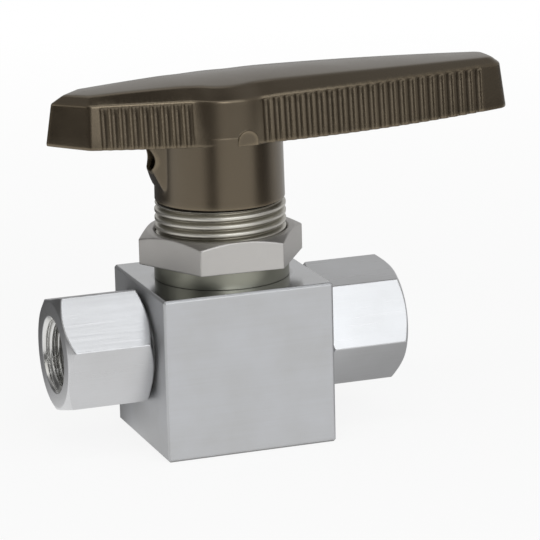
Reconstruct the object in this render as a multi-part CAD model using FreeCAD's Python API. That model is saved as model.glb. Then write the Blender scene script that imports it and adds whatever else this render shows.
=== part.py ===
import FreeCAD, Part
import math
import os

# Panel mount trunnion ball valve. Sizes are in millimetres.
# X is the flow axis, Z the stem axis, and the origin is the centre of the flat underside.

# Body block
body_length = 34.1
body_width = 31.75
body_height = 31.75
body_edge_break = 0.4
flow_axis_drop = 12.3

# Counts and allowances of the modelling itself
seal_sides = 8
section_count = 14
section_overrun = 0.5
core_outline_steps = 12

# Fits shared by several pieces
running_clearance = 0.05
axial_play = 0.05
thread_clearance = 0.05

# Ball and stem
ball_diameter = 12.7
orifice_diameter = 4.8
ball_flat_drop = 5.7
trunnion_diameter = 6.35
trunnion_length = 6.0
chamber_diameter = 13.7
collar_diameter = 12.7
collar_height = 1.6
collar_lift = 0.25
stem_diameter = 8.0
stem_square = 6.35
stem_square_length = 13.4
stem_lead_chamfer = 0.4

# Bearings
trunnion_bearing_wall = 1.2
trunnion_bearing_length = 6.0
trunnion_end_room = 0.5
thrust_washer_thickness = 0.8
stem_bearing_thickness = 1.2
washer_rim_gap = 0.15

# Seats, carriers and their springs
seat_diameter = 8.0
seat_length = 2.2
seat_proud = 0.5
carrier_diameter = 10.3
carrier_length = 3.55
carrier_tail_diameter = 7.8
carrier_tail_length = 5.6
carrier_tail_room = 0.6
seat_oring_section = 0.9
seat_oring_setback = 1.4
seat_spring_gap = 2.2
seat_spring_thickness = 0.5

# End connectors
connector_reach = 34.6
connector_hex = 21.4
left_hex_angle = 45.5
right_hex_angle = 70.8
hex_stand_off = 0.7
hex_inner_turn_length = 0.9
hex_outer_chamfer_radius = 10.35
connector_thread_diameter = 19.05
connector_thread_chamfer = 0.6
connector_oring_section = 1.1
connector_oring_setback = 1.2
passage_diameter = 7.1
port_diameter = 11.4
port_depth = 15.0
port_mouth_diameter = 15.0
port_mouth_depth = 1.5

# Bonnet
bonnet_spigot_diameter = 20.6
bonnet_spigot_length = 5.75
bonnet_floor_room = 0.2
bonnet_oring_section = 1.3
bonnet_oring_setback = 0.5
panel_thread_diameter = 25.4
panel_thread_length = 14.95
panel_thread_chamfer = 0.7
panel_collar_diameter = 26.2
panel_collar_height = 3.4
bonnet_web = 3.3

# Stem packing, from the bottom upwards
packing_diameter = 13.2
backup_ring_height = 1.6
stem_oring_section = 2.5
gland_height = 2.8
gland_lip_height = 1.0
gland_lip_wall = 1.1
packing_spring_height = 1.0
packing_spring_thickness = 0.45
packing_nut_diameter = 14.8
packing_nut_height = 4.4
packing_nut_slot = 2.0
packing_nut_slot_depth = 1.5
packing_nut_relief = 0.6

# Panel nut
nut_across_flats = 28.575
nut_thickness = 6.0
nut_angle = 177.6
nut_chamfer_radius = 14.25
nut_chamfer_angle = 25.0

# Stop pin and its groove
stop_pin_diameter = 2.5
stop_pin_circle = 19.6
stop_pin_depth = 5.0
stop_pin_height = 2.3
stop_pin_angle = 45.0
stop_groove_play = 0.25
stop_groove_end_play = 0.1
stop_groove_head_room = 0.3
quarter_turn = 90.0

# Handle hub
handle_gap = 0.3
hub_bottom_diameter = 25.2
hub_top_diameter = 24.9
hub_height = 12.3
insert_across_flats = 11.0
insert_recess = 0.6
insert_height = 13.6
insert_bore_clearance = 0.05
stem_top_room = 0.5

# Set screw and its boss
screw_diameter = 4.0
screw_height = 8.8
screw_length = 9.0
screw_socket_across_flats = 2.0
screw_socket_depth = 2.2
screw_hole_clearance = 0.35
boss_reach = 14.45
boss_radius = 3.5
boss_start = 3.7
boss_overlap = 2.5
boss_slope_rise = 3.8
boss_slope_in = 1.95

# Handle bar
long_reach = 58.6
short_reach = 34.4
middle_half_width = 12.1
widest_station = 3.0
long_end_half_width = 5.2
short_end_half_width = 5.4
short_taper_ratio = 0.1
bar_wall_height = 8.9
bar_draft_angle = 6.5
underside_rise = 0.9
rim_rise = 0.75
bevel_height = 2.45
bevel_inset = 3.2
bevel_height_loss = 1.3
bevel_inset_loss = 2.0
crown_radius = 58.0
bulge_top_radius = 11.95
bulge_rim_drop = 0.2
bulge_bevel_height = 2.3
nose_angle = 45.0
end_bevel_angle = 50.0
end_corner_radius = 2.4
pad_radius = 2.0
pad_half_spread = 12.65
pad_depth = 2.0
pad_station = 1.8
pad_rise = 0.85

# Flutes and underside cores of the bar
flute_pitch_long = 2.18
flute_pitch_short = 1.95
flute_radius = 0.85
flute_depth = 0.42
flute_rim_land = 0.3
flute_hub_gap_long = 5.95
flute_hub_gap_short = 9.0
flute_end_gap_long = 6.0
flute_end_gap_short = 9.3
core_wall = 2.2
core_roof = 3.2
core_rib = 1.6
core_pitch = 7.4
core_hub_gap = 1.8
core_end_gap = 3.4
core_nose_gap = 8.6

# Levels and places that follow from the sizes above
flow_height = body_height - flow_axis_drop
ball_radius = ball_diameter / 2
carrier_radius = carrier_diameter / 2
collar_bottom = flow_height + carrier_radius + collar_lift
collar_top = collar_bottom + collar_height
stem_bearing_bottom = collar_top + axial_play
bonnet_shoulder = stem_bearing_bottom + stem_bearing_thickness
bonnet_bottom = body_height - bonnet_spigot_length
packing_floor = bonnet_shoulder + bonnet_web
stem_oring_bottom = packing_floor + backup_ring_height
upper_backup_bottom = stem_oring_bottom + stem_oring_section
gland_bottom = upper_backup_bottom + backup_ring_height
packing_spring_bottom = gland_bottom + gland_height
packing_nut_bottom = packing_spring_bottom + 2 * packing_spring_height
bonnet_top = body_height + panel_thread_length
collar_rim = body_height + panel_collar_height
nut_bottom = collar_rim + axial_play
ball_flat_bottom = flow_height - ball_flat_drop
chamber_floor = ball_flat_bottom - axial_play - thrust_washer_thickness
bearing_bottom = chamber_floor - trunnion_bearing_length
trunnion_bottom = ball_flat_bottom - trunnion_length
pocket_bottom = min(bearing_bottom, trunnion_bottom - trunnion_end_room)
seat_front = math.sqrt(ball_radius ** 2 - (seat_diameter / 2) ** 2)
seat_back = seat_front + seat_length
carrier_front = seat_front + seat_proud
carrier_back = carrier_front + carrier_length
connector_nose = carrier_back + seat_spring_gap
body_end = body_length / 2
hex_start = body_end + hex_stand_off
hub_bottom = bonnet_top + handle_gap
bar_bottom = hub_bottom + hub_height
rim_level = bar_bottom + bar_wall_height
insert_bottom = hub_bottom + insert_recess
insert_top = insert_bottom + insert_height
stem_top = insert_top - stem_top_room
screw_level = hub_bottom + screw_height
draft_slope = math.tan(math.radians(bar_draft_angle))
hub_radius = hub_bottom_diameter / 2
far = 200.0


def vector(x, y, z):
    return FreeCAD.Vector(x, y, z)


def disc_z(radius, low, high, x=0.0, y=0.0):
    return Part.makeCylinder(radius, high - low, vector(x, y, low), vector(0, 0, 1))


def disc_x(radius, start, end, height=flow_height):
    return Part.makeCylinder(radius, end - start, vector(start, 0, height), vector(1, 0, 0))


def led_in_disc_z(radius, low, high, chamfer, at_top):
    """Disc with a chamfer round its top or its bottom rim."""
    profile = [(0, low), (radius, low), (radius, high - chamfer), (radius - chamfer, high),
               (0, high)]
    if not at_top:
        profile = [(r, low + high - z) for r, z in profile]
    return turned_z(profile)


def ring_z(inner, outer, low, high):
    return disc_z(outer, low, high).cut(disc_z(inner, low, high))


def turned_z(profile):
    """Solid turned about the stem axis from (radius, z) points."""
    points = [vector(radius, 0, z) for radius, z in profile]
    face = Part.Face(Part.makePolygon(points + points[:1]))
    return face.revolve(vector(0, 0, 0), vector(0, 0, 1), 360)


def turned_x(profile):
    """Solid turned about the flow axis from (x, radius) points."""
    points = [vector(x, 0, flow_height + radius) for x, radius in profile]
    face = Part.Face(Part.makePolygon(points + points[:1]))
    return face.revolve(vector(0, 0, flow_height), vector(1, 0, 0), 360)


def seal_profile(inner_radius, section, start):
    """O-ring section squeezed flat on its sides, as (distance along the axis, radius) points."""
    corner = section / 2 / math.cos(math.pi / seal_sides)
    turns = [math.pi * (2 * k + 1) / seal_sides for k in range(seal_sides)]
    middle = inner_radius + section / 2
    return [(start + section / 2 + corner * math.cos(a), middle + corner * math.sin(a))
            for a in turns]


def seal_z(inner_radius, section, low):
    """O-ring lying flat round the stem axis."""
    return turned_z([(radius, level) for level, radius in seal_profile(inner_radius, section, low)])


def seal_x(inner_radius, section, start):
    """O-ring standing round the flow axis."""
    return turned_x(seal_profile(inner_radius, section, start))


def hexagon_z(across_flats, low, high, angle):
    corner = across_flats / math.sqrt(3)
    angles = [math.radians(angle + 60 * k) for k in range(6)]
    points = [vector(corner * math.cos(a), corner * math.sin(a), low) for a in angles]
    face = Part.Face(Part.makePolygon(points + points[:1]))
    return face.extrude(vector(0, 0, high - low))


def hexagon_x(across_flats, start, end, angle, height):
    corner = across_flats / math.sqrt(3)
    angles = [math.radians(angle + 60 * k) for k in range(6)]
    points = [vector(start, corner * math.cos(a), height + corner * math.sin(a)) for a in angles]
    face = Part.Face(Part.makePolygon(points + points[:1]))
    return face.extrude(vector(end - start, 0, 0))


def square_z(across, low, high):
    return Part.makeBox(across, across, high - low, vector(-across / 2, -across / 2, low))


def beyond_plane(point, normal):
    """Large block that fills the side of a plane to which its normal points."""
    block = Part.makeBox(far, far, far, vector(-far / 2, -far / 2, 0))
    block.Placement = FreeCAD.Placement(point, FreeCAD.Rotation(vector(0, 0, 1), normal))
    return block


def mirrored(shape):
    """The same piece on the left of the stem axis."""
    return shape.mirror(vector(0, 0, 0), vector(1, 0, 0))


def make_body():
    block = Part.makeBox(body_length, body_width, body_height,
                         vector(-body_end, -body_width / 2, 0))
    block = block.makeChamfer(body_edge_break, block.Edges)
    bearing_radius = trunnion_diameter / 2 + running_clearance + trunnion_bearing_wall
    spigot_radius = bonnet_spigot_diameter / 2 + thread_clearance
    seat_bore = carrier_radius + running_clearance
    connector_bore = connector_thread_diameter / 2 + thread_clearance
    cuts = [
        disc_z(bearing_radius, pocket_bottom, chamber_floor),
        disc_z(chamber_diameter / 2, chamber_floor, body_height),
        disc_z(spigot_radius, bonnet_bottom - bonnet_floor_room, body_height),
        disc_x(seat_bore, -connector_nose, connector_nose),
        disc_x(connector_bore, connector_nose, body_end),
        disc_x(connector_bore, -body_end, -connector_nose),
    ]
    return block.cut(cuts)


def make_ball_stem():
    trunnion = led_in_disc_z(trunnion_diameter / 2, trunnion_bottom, flow_height,
                             stem_lead_chamfer, False)
    ball = Part.makeSphere(ball_radius, vector(0, 0, flow_height))
    ball = ball.common(disc_z(ball_radius, ball_flat_bottom, flow_height + ball_flat_drop))
    collar = disc_z(collar_diameter / 2, collar_bottom, collar_top)
    round_top = stem_top - stem_square_length
    stem = disc_z(stem_diameter / 2, flow_height, round_top)
    drive = led_in_disc_z(stem_diameter / 2, round_top, stem_top, stem_lead_chamfer, True)
    drive = drive.common(square_z(stem_square, round_top, stem_top))
    whole = ball.fuse([trunnion, collar, stem, drive])
    whole = whole.cut(disc_x(orifice_diameter / 2, -ball_radius, ball_radius))
    return whole.removeSplitter()


def make_trunnion_bearing():
    inner = trunnion_diameter / 2 + running_clearance
    return ring_z(inner, inner + trunnion_bearing_wall, bearing_bottom, chamber_floor)


def make_lower_washer():
    inner = trunnion_diameter / 2 + running_clearance
    outer = chamber_diameter / 2 - washer_rim_gap
    return ring_z(inner, outer, chamber_floor, chamber_floor + thrust_washer_thickness)


def make_stem_bearing():
    inner = stem_diameter / 2 + running_clearance
    outer = chamber_diameter / 2 - washer_rim_gap
    return ring_z(inner, outer, stem_bearing_bottom, bonnet_shoulder)


def make_seat():
    ring = disc_x(seat_diameter / 2, seat_front, seat_back)
    ring = ring.cut(disc_x(orifice_diameter / 2, seat_front, seat_back))
    hollow = Part.makeSphere(ball_radius + running_clearance, vector(0, 0, flow_height))
    return ring.cut(hollow)


def make_carrier():
    """Stepped sleeve with the seat's pocket in front and a seal groove on its tail."""
    tail_radius = carrier_tail_diameter / 2
    tail_end = carrier_back + carrier_tail_length
    groove_end = tail_end - seat_oring_setback
    groove_start = groove_end - seat_oring_section
    groove_floor = tail_radius + running_clearance - seat_oring_section
    return turned_x([
        (carrier_front, seat_diameter / 2),
        (carrier_front, carrier_radius),
        (carrier_back, carrier_radius),
        (carrier_back, tail_radius),
        (groove_start, tail_radius),
        (groove_start, groove_floor),
        (groove_end, groove_floor),
        (groove_end, tail_radius),
        (tail_end, tail_radius),
        (tail_end, orifice_diameter / 2),
        (seat_back, orifice_diameter / 2),
        (seat_back, seat_diameter / 2),
    ])


def make_seat_oring():
    start = carrier_back + carrier_tail_length - seat_oring_setback - seat_oring_section
    inner = carrier_tail_diameter / 2 + running_clearance - seat_oring_section
    return seal_x(inner, seat_oring_section, start)


def disc_spring_pair(inner, outer, height, thickness):
    """Two coned discs with their small ends together, as (radius, level) profiles."""
    first = [(outer, 0), (outer, thickness), (inner, height), (inner, height - thickness)]
    second = [(radius, 2 * height - level) for radius, level in first]
    return first, second


def make_seat_springs():
    inner = carrier_tail_diameter / 2 + running_clearance
    pair = disc_spring_pair(inner, carrier_radius, seat_spring_gap / 2, seat_spring_thickness)
    discs = [turned_x([(carrier_back + level, radius) for radius, level in profile])
             for profile in pair]
    return Part.makeCompound(discs)


def make_connector(hex_angle):
    """End connector: shank, turned neck and hexagon, bored for the carrier and the port."""
    bore_radius = connector_thread_diameter / 2 + thread_clearance
    shank_radius = connector_thread_diameter / 2
    seal_end = body_end - connector_oring_setback
    seal_start = seal_end - connector_oring_section
    seal_floor = bore_radius - connector_oring_section
    shank = turned_x([
        (connector_nose, 0),
        (connector_nose, shank_radius - connector_thread_chamfer),
        (connector_nose + connector_thread_chamfer, shank_radius),
        (seal_start, shank_radius),
        (seal_start, seal_floor),
        (seal_end, seal_floor),
        (seal_end, shank_radius),
        (hex_start, shank_radius),
        (hex_start, 0),
    ])
    flat_radius = connector_hex / 2
    corner_radius = connector_hex / math.sqrt(3)
    chamfer_rise = corner_radius - hex_outer_chamfer_radius
    hexagon = hexagon_x(connector_hex, hex_start, connector_reach, hex_angle, flow_height)
    envelope = turned_x([
        (hex_start, 0),
        (hex_start, flat_radius - thread_clearance),
        (hex_start + hex_inner_turn_length, corner_radius),
        (connector_reach - chamfer_rise / math.sqrt(3), corner_radius),
        (connector_reach, hex_outer_chamfer_radius),
        (connector_reach, 0),
    ])
    connector = hexagon.common(envelope).fuse(shank)
    tail_bore = carrier_tail_diameter / 2 + running_clearance
    tail_floor = carrier_back + carrier_tail_length + carrier_tail_room
    port_floor = connector_reach - port_depth
    mouth_radius = port_mouth_diameter / 2
    mouth_floor = connector_reach - port_mouth_depth
    mouth = Part.makeCone(port_diameter / 2, mouth_radius, port_mouth_depth,
                          vector(mouth_floor, 0, flow_height), vector(1, 0, 0))
    drill_length = (port_diameter - passage_diameter) / 2 / math.sqrt(3)
    drill_point = Part.makeCone(passage_diameter / 2, port_diameter / 2, drill_length,
                                vector(port_floor - drill_length, 0, flow_height),
                                vector(1, 0, 0))
    connector = connector.cut([
        disc_x(tail_bore, connector_nose, tail_floor),
        disc_x(passage_diameter / 2, tail_floor, port_floor),
        drill_point,
        disc_x(port_diameter / 2, port_floor, connector_reach),
        mouth,
    ])
    return connector.removeSplitter()


def make_connector_oring():
    start = body_end - connector_oring_setback - connector_oring_section
    inner = connector_thread_diameter / 2 + thread_clearance - connector_oring_section
    return seal_x(inner, connector_oring_section, start)


def make_bonnet():
    """Bonnet: spigot in the block, plain collar and panel thread above, packing chamber inside."""
    spigot_radius = bonnet_spigot_diameter / 2
    seal_low = bonnet_bottom + bonnet_oring_setback
    seal_high = seal_low + bonnet_oring_section
    seal_floor = spigot_radius + thread_clearance - bonnet_oring_section
    collar_radius = panel_collar_diameter / 2
    thread_radius = panel_thread_diameter / 2
    stem_bore = stem_diameter / 2 + running_clearance
    nut_bore = packing_nut_diameter / 2 + thread_clearance
    nut_seat = packing_nut_bottom - packing_nut_relief
    bonnet = turned_z([
        (chamber_diameter / 2, bonnet_bottom),
        (spigot_radius, bonnet_bottom),
        (spigot_radius, seal_low),
        (seal_floor, seal_low),
        (seal_floor, seal_high),
        (spigot_radius, seal_high),
        (spigot_radius, body_height),
        (collar_radius, body_height),
        (collar_radius, collar_rim),
        (thread_radius, collar_rim),
        (thread_radius, bonnet_top - panel_thread_chamfer),
        (thread_radius - panel_thread_chamfer, bonnet_top),
        (nut_bore, bonnet_top),
        (nut_bore, nut_seat),
        (packing_diameter / 2, nut_seat),
        (packing_diameter / 2, packing_floor),
        (stem_bore, packing_floor),
        (stem_bore, bonnet_shoulder),
        (chamber_diameter / 2, bonnet_shoulder),
    ])
    x, y = stop_pin_place()
    return bonnet.cut(disc_z(stop_pin_diameter / 2, bonnet_top - stop_pin_depth, bonnet_top, x, y))


def make_bonnet_oring():
    inner = bonnet_spigot_diameter / 2 + thread_clearance - bonnet_oring_section
    return seal_z(inner, bonnet_oring_section, bonnet_bottom + bonnet_oring_setback)


def make_backup_ring(low):
    inner = stem_diameter / 2 + running_clearance
    return ring_z(inner, packing_diameter / 2, low, low + backup_ring_height)


def make_stem_oring():
    return seal_z(stem_diameter / 2 + running_clearance, stem_oring_section, stem_oring_bottom)


def make_gland():
    """Follower ring with a raised lip that centres the disc springs."""
    inner = stem_diameter / 2 + running_clearance
    shoulder = gland_bottom + gland_height
    lip = shoulder + gland_lip_height
    return turned_z([
        (inner, gland_bottom),
        (packing_diameter / 2, gland_bottom),
        (packing_diameter / 2, shoulder),
        (inner + gland_lip_wall, shoulder),
        (inner + gland_lip_wall, lip),
        (inner, lip),
    ])


def make_packing_springs():
    inner = stem_diameter / 2 + running_clearance + gland_lip_wall + running_clearance
    outer = packing_diameter / 2 - washer_rim_gap
    pair = disc_spring_pair(inner, outer, packing_spring_height, packing_spring_thickness)
    discs = [turned_z([(radius, packing_spring_bottom + level) for radius, level in profile])
             for profile in pair]
    return Part.makeCompound(discs)


def make_packing_nut():
    inner = stem_diameter / 2 + running_clearance
    radius = packing_nut_diameter / 2
    top = packing_nut_bottom + packing_nut_height
    ring = ring_z(inner, radius, packing_nut_bottom, top)
    slot = Part.makeBox(2 * radius, packing_nut_slot, packing_nut_slot_depth,
                        vector(-radius, -packing_nut_slot / 2, top - packing_nut_slot_depth))
    return ring.cut(slot)


def stop_pin_place():
    angle = math.radians(stop_pin_angle)
    radius = stop_pin_circle / 2
    return radius * math.cos(angle), radius * math.sin(angle)


def make_stop_pin():
    x, y = stop_pin_place()
    low = bonnet_top - stop_pin_depth
    return disc_z(stop_pin_diameter / 2, low, bonnet_top + stop_pin_height, x, y)


def make_panel_nut():
    """Hexagonal nut with its corners chamfered on top only."""
    top = nut_bottom + nut_thickness
    hexagon = hexagon_z(nut_across_flats, nut_bottom, top, nut_angle)
    corner_radius = nut_across_flats / math.sqrt(3)
    drop = (corner_radius - nut_chamfer_radius) * math.tan(math.radians(nut_chamfer_angle))
    envelope = turned_z([
        (0, nut_bottom),
        (corner_radius, nut_bottom),
        (corner_radius, top - drop),
        (nut_chamfer_radius, top),
        (0, top),
    ])
    bore = panel_thread_diameter / 2 + thread_clearance
    return hexagon.common(envelope).cut(disc_z(bore, nut_bottom, top))


def make_insert():
    """Hexagon bush moulded into the hub, with the square drive hole and the screw's thread."""
    bush = hexagon_z(insert_across_flats, insert_bottom, insert_top, 0)
    drive = square_z(stem_square + 2 * insert_bore_clearance, insert_bottom, insert_top)
    side = insert_across_flats
    return bush.cut([drive, disc_x(screw_diameter / 2, -side, 0, screw_level)])


def make_set_screw():
    tip = -stem_square / 2
    tail = tip - screw_length
    screw = disc_x(screw_diameter / 2, tail, tip, screw_level)
    socket = hexagon_x(screw_socket_across_flats, tail, tail + screw_socket_depth, 0, screw_level)
    return screw.cut(socket)


def arm_share(x):
    """How far out along its arm a station lies, 0 at the widest place and 1 at the end."""
    if x >= widest_station:
        return (x - widest_station) / (long_reach - widest_station)
    return (widest_station - x) / (short_reach + widest_station)


def half_width(x):
    """Half the bar's width at its lower edge."""
    share = arm_share(x)
    if x >= widest_station:
        return middle_half_width - (middle_half_width - long_end_half_width) * share ** 2
    rounding = short_taper_ratio
    part = (math.hypot(share, rounding) - rounding) / (math.hypot(1, rounding) - rounding)
    return middle_half_width - (middle_half_width - short_end_half_width) * part


def lower_edge(x):
    """Level of the bar's underside, flush with the hub and rising towards both ends."""
    return bar_bottom + underside_rise * arm_share(x) ** 2


def rim_edge(x):
    """Level of the rim on top of the bar's upright wall, rising early along the long arm."""
    share = arm_share(x) if x > widest_station else 0.0
    return rim_level + rim_rise * share * (2 - share)


def bevel_fall(x):
    """Part of the bevel's whole loss of height that is reached at a station."""
    share = arm_share(x)
    return share if x > widest_station else share ** 2


def bar_section(x):
    """Closed outline across the bar: drafted walls, bevels and a crowned top."""
    low = lower_edge(x)
    rim = rim_edge(x)
    share = arm_share(x)
    wide = half_width(x)
    rim_half = wide - (rim - low) * draft_slope
    top_half = rim_half - (bevel_inset - bevel_inset_loss * share ** 2)
    top = rim + bevel_height - bevel_height_loss * bevel_fall(x)
    crown = top + top_half ** 2 / (2 * crown_radius)
    corners = [vector(x, top_half, top), vector(x, rim_half, rim), vector(x, wide, low),
               vector(x, -wide, low), vector(x, -rim_half, rim), vector(x, -top_half, top)]
    edges = [Part.LineSegment(a, b).toShape() for a, b in zip(corners, corners[1:])]
    edges.append(Part.Arc(corners[-1], vector(x, 0, crown), corners[0]).toShape())
    return Part.Wire(edges)


def nose_facets():
    """Planes of the pointed end: two upright facets and the two bevels above them."""
    planes = []
    turn = math.radians(nose_angle)
    lean = math.radians(bar_draft_angle)
    slope = math.radians(end_bevel_angle)
    low_tip = vector(-short_reach, 0, lower_edge(-short_reach))
    rim = rim_edge(-short_reach)
    rim_tip = vector(-short_reach + (rim - low_tip.z) * draft_slope / math.cos(turn), 0, rim)
    for side in (-1, 1):
        out_x = -math.cos(turn)
        out_y = side * math.sin(turn)
        planes.append((low_tip, vector(out_x * math.cos(lean), out_y * math.cos(lean),
                                       math.sin(lean))))
        planes.append((rim_tip, vector(out_x * math.cos(slope), out_y * math.cos(slope),
                                       math.sin(slope))))
    return planes


def end_facets():
    """Planes of the blunt end: one upright facet and the bevel above it."""
    lean = math.radians(bar_draft_angle)
    slope = math.radians(end_bevel_angle)
    low = lower_edge(long_reach)
    rim = rim_edge(long_reach)
    rim_x = long_reach - (rim - low) * draft_slope
    return [
        (vector(long_reach, 0, low), vector(math.cos(lean), 0, math.sin(lean))),
        (vector(rim_x, 0, rim), vector(math.cos(slope), 0, math.sin(slope))),
    ]


def round_end_corners(bar):
    """Rounds the two upright corners of the blunt end."""
    upright = []
    for edge in bar.Edges:
        low, high = edge.BoundBox.ZMin, edge.BoundBox.ZMax
        at_end = edge.BoundBox.XMin > long_reach - bar_wall_height * draft_slope - end_corner_radius
        if at_end and high - low > bar_wall_height / 2:
            upright.append(edge)
    return bar.makeFillet(end_corner_radius, upright)


def make_bar():
    """Bar lofted through sections along the flow axis, then trimmed to its two ends."""
    first = -short_reach - section_overrun
    last = long_reach + section_overrun
    step = (last - first) / (section_count - 1)
    sections = [bar_section(first + k * step) for k in range(section_count)]
    bar = Part.makeLoft(sections, True, False)
    for point, normal in nose_facets() + end_facets():
        bar = bar.cut(beyond_plane(point, normal))
    return round_end_corners(bar)


def make_pad(side):
    """Arched pad low on the bar's wall, cut flat level with the bar's underside."""
    arch = Part.makeCylinder(pad_radius, pad_depth,
                             vector(pad_station, side * pad_half_spread, bar_bottom + pad_rise),
                             vector(0, -side, 0))
    near = min(side * pad_half_spread, side * (pad_half_spread - pad_depth))
    foot = Part.makeBox(2 * pad_radius, pad_depth, pad_rise,
                        vector(pad_station - pad_radius, near, bar_bottom))
    arch = arch.cut(beyond_plane(vector(pad_station, 0, bar_bottom), vector(0, 0, -1)))
    return arch.fuse(foot)


def make_hub():
    """Tapered hub that bulges through the bar, with the set screw's boss and two small pads."""
    bulge_rim = rim_level - bulge_rim_drop
    bulge_top = bulge_rim + bulge_bevel_height
    hub = turned_z([
        (0, hub_bottom),
        (hub_radius, hub_bottom),
        (hub_top_diameter / 2, bar_bottom),
        (bulge_top_radius, bulge_rim),
        (bulge_top_radius - bevel_inset, bulge_top),
        (0, bulge_top),
    ])
    boss_top = bar_bottom + boss_overlap
    boss = disc_z(boss_radius, hub_bottom + boss_start, boss_top, boss_radius - boss_reach)
    slope_foot = vector(-boss_reach + boss_slope_in, 0, hub_bottom + boss_start)
    slope_normal = vector(-boss_slope_rise, 0, -boss_slope_in)
    boss = boss.cut(beyond_plane(slope_foot, slope_normal))
    return hub.fuse([boss, make_pad(-1), make_pad(1)])


def flute_stations(start, end, pitch):
    """Places of the flutes along one arm, at an even pitch."""
    count = int(abs(end - start) / pitch) + 1
    step = pitch if end > start else -pitch
    return [start + k * step for k in range(count)]


def make_flutes():
    """Round-bottomed upright grooves in the side walls of both arms."""
    stations = flute_stations(flute_hub_gap_long, long_reach - flute_end_gap_long,
                              flute_pitch_long)
    stations += flute_stations(-flute_hub_gap_short, -short_reach + flute_end_gap_short,
                               flute_pitch_short)
    small = flute_pitch_short / 4
    flutes = []
    for x in stations:
        low = lower_edge(x) - small
        high = rim_edge(x) - flute_rim_land
        turn = (half_width(x + small) - half_width(x - small)) / (2 * small)
        for side in (-1, 1):
            outward = vector(-turn, side, draft_slope).normalize()
            along = vector(0, -side * draft_slope, 1).normalize()
            foot = vector(x, side * (half_width(x) + small * draft_slope), low)
            centre = foot + outward * (flute_radius - flute_depth)
            flutes.append(Part.makeCylinder(flute_radius, high - low, centre, along))
    return flutes


def make_cores():
    """Moulding cores under both arms, parted by cross ribs and a middle rib."""
    roof = rim_level + bevel_height - core_roof
    low = bar_bottom - underside_rise
    outline = []
    first = -short_reach + core_nose_gap
    last = long_reach - core_end_gap
    for k in range(core_outline_steps + 1):
        x = first + (last - first) * k / core_outline_steps
        outline.append((x, half_width(x) - core_wall))
    points = [vector(x, y, low) for x, y in outline]
    points += [vector(x, -y, low) for x, y in reversed(outline)]
    face = Part.Face(Part.makePolygon(points + points[:1]))
    core = face.extrude(vector(0, 0, roof - low))
    keep = [disc_z(hub_radius + core_hub_gap, low, roof)]
    keep.append(Part.makeBox(last - first, core_rib, roof - low,
                             vector(first, -core_rib / 2, low)))
    ribs = int((last - hub_radius) / core_pitch)
    places = [hub_radius + core_hub_gap + k * core_pitch for k in range(1, ribs + 1)]
    for x in places:
        keep.append(Part.makeBox(core_rib, 2 * middle_half_width, roof - low,
                                 vector(x - core_rib, -middle_half_width, low)))
    return core.cut(keep)


def make_stop_groove():
    """Arc groove under the hub that lets the stop pin pass a quarter turn."""
    middle = stop_pin_circle / 2
    half = stop_pin_diameter / 2 + stop_groove_play
    depth = stop_pin_height - handle_gap + stop_groove_head_room
    spread = quarter_turn
    base = vector(0, 0, hub_bottom)
    sector = Part.makeCylinder(middle + half, depth, base, vector(0, 0, 1), spread)
    sector = sector.cut(disc_z(middle - half, hub_bottom, hub_bottom + depth))
    end_radius = stop_pin_diameter / 2 + stop_groove_end_play
    ends = []
    for angle in (0.0, spread):
        x = middle * math.cos(math.radians(angle))
        y = middle * math.sin(math.radians(angle))
        ends.append(disc_z(end_radius, hub_bottom, hub_bottom + depth, x, y))
    groove = sector.fuse(ends)
    groove.rotate(vector(0, 0, 0), vector(0, 0, 1), stop_pin_angle)
    return groove


def make_handle():
    handle = make_bar().fuse(make_hub())
    insert_pocket = hexagon_z(insert_across_flats, hub_bottom, insert_top, 0)
    screw_hole = disc_x(screw_diameter / 2 + screw_hole_clearance, -far, 0, screw_level)
    handle = handle.cut([insert_pocket, screw_hole, make_stop_groove()])
    handle = handle.cut(make_cores())
    return handle.cut(make_flutes())


def make_all():
    """Every piece of the valve by its name."""
    pieces = {
        "valve_body": make_body(),
        "ball_stem": make_ball_stem(),
        "lower_trunnion_bearing": make_trunnion_bearing(),
        "lower_thrust_washer": make_lower_washer(),
        "upper_stem_bearing": make_stem_bearing(),
        "bonnet": make_bonnet(),
        "bonnet_oring": make_bonnet_oring(),
        "lower_backup_ring": make_backup_ring(packing_floor),
        "stem_oring": make_stem_oring(),
        "upper_backup_ring": make_backup_ring(upper_backup_bottom),
        "packing_gland": make_gland(),
        "packing_springs": make_packing_springs(),
        "packing_nut": make_packing_nut(),
        "stop_pin": make_stop_pin(),
        "panel_nut": make_panel_nut(),
        "handle": make_handle(),
        "handle_insert": make_insert(),
        "handle_set_screw": make_set_screw(),
        "right_end_connector": make_connector(right_hex_angle),
        "left_end_connector": mirrored(make_connector(left_hex_angle)),
    }
    pairs = {
        "seat": make_seat,
        "seat_carrier": make_carrier,
        "seat_oring": make_seat_oring,
        "seat_springs": make_seat_springs,
        "connector_oring": make_connector_oring,
    }
    for name, make in pairs.items():
        pieces["right_" + name] = make()
        pieces["left_" + name] = mirrored(make())
    return pieces


os.makedirs("parts", exist_ok=True)
for piece_name, piece in make_all().items():
    piece.exportStep("parts/" + piece_name + ".step")
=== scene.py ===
import math

import bmesh
import bpy
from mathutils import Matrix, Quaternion, Vector


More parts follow.
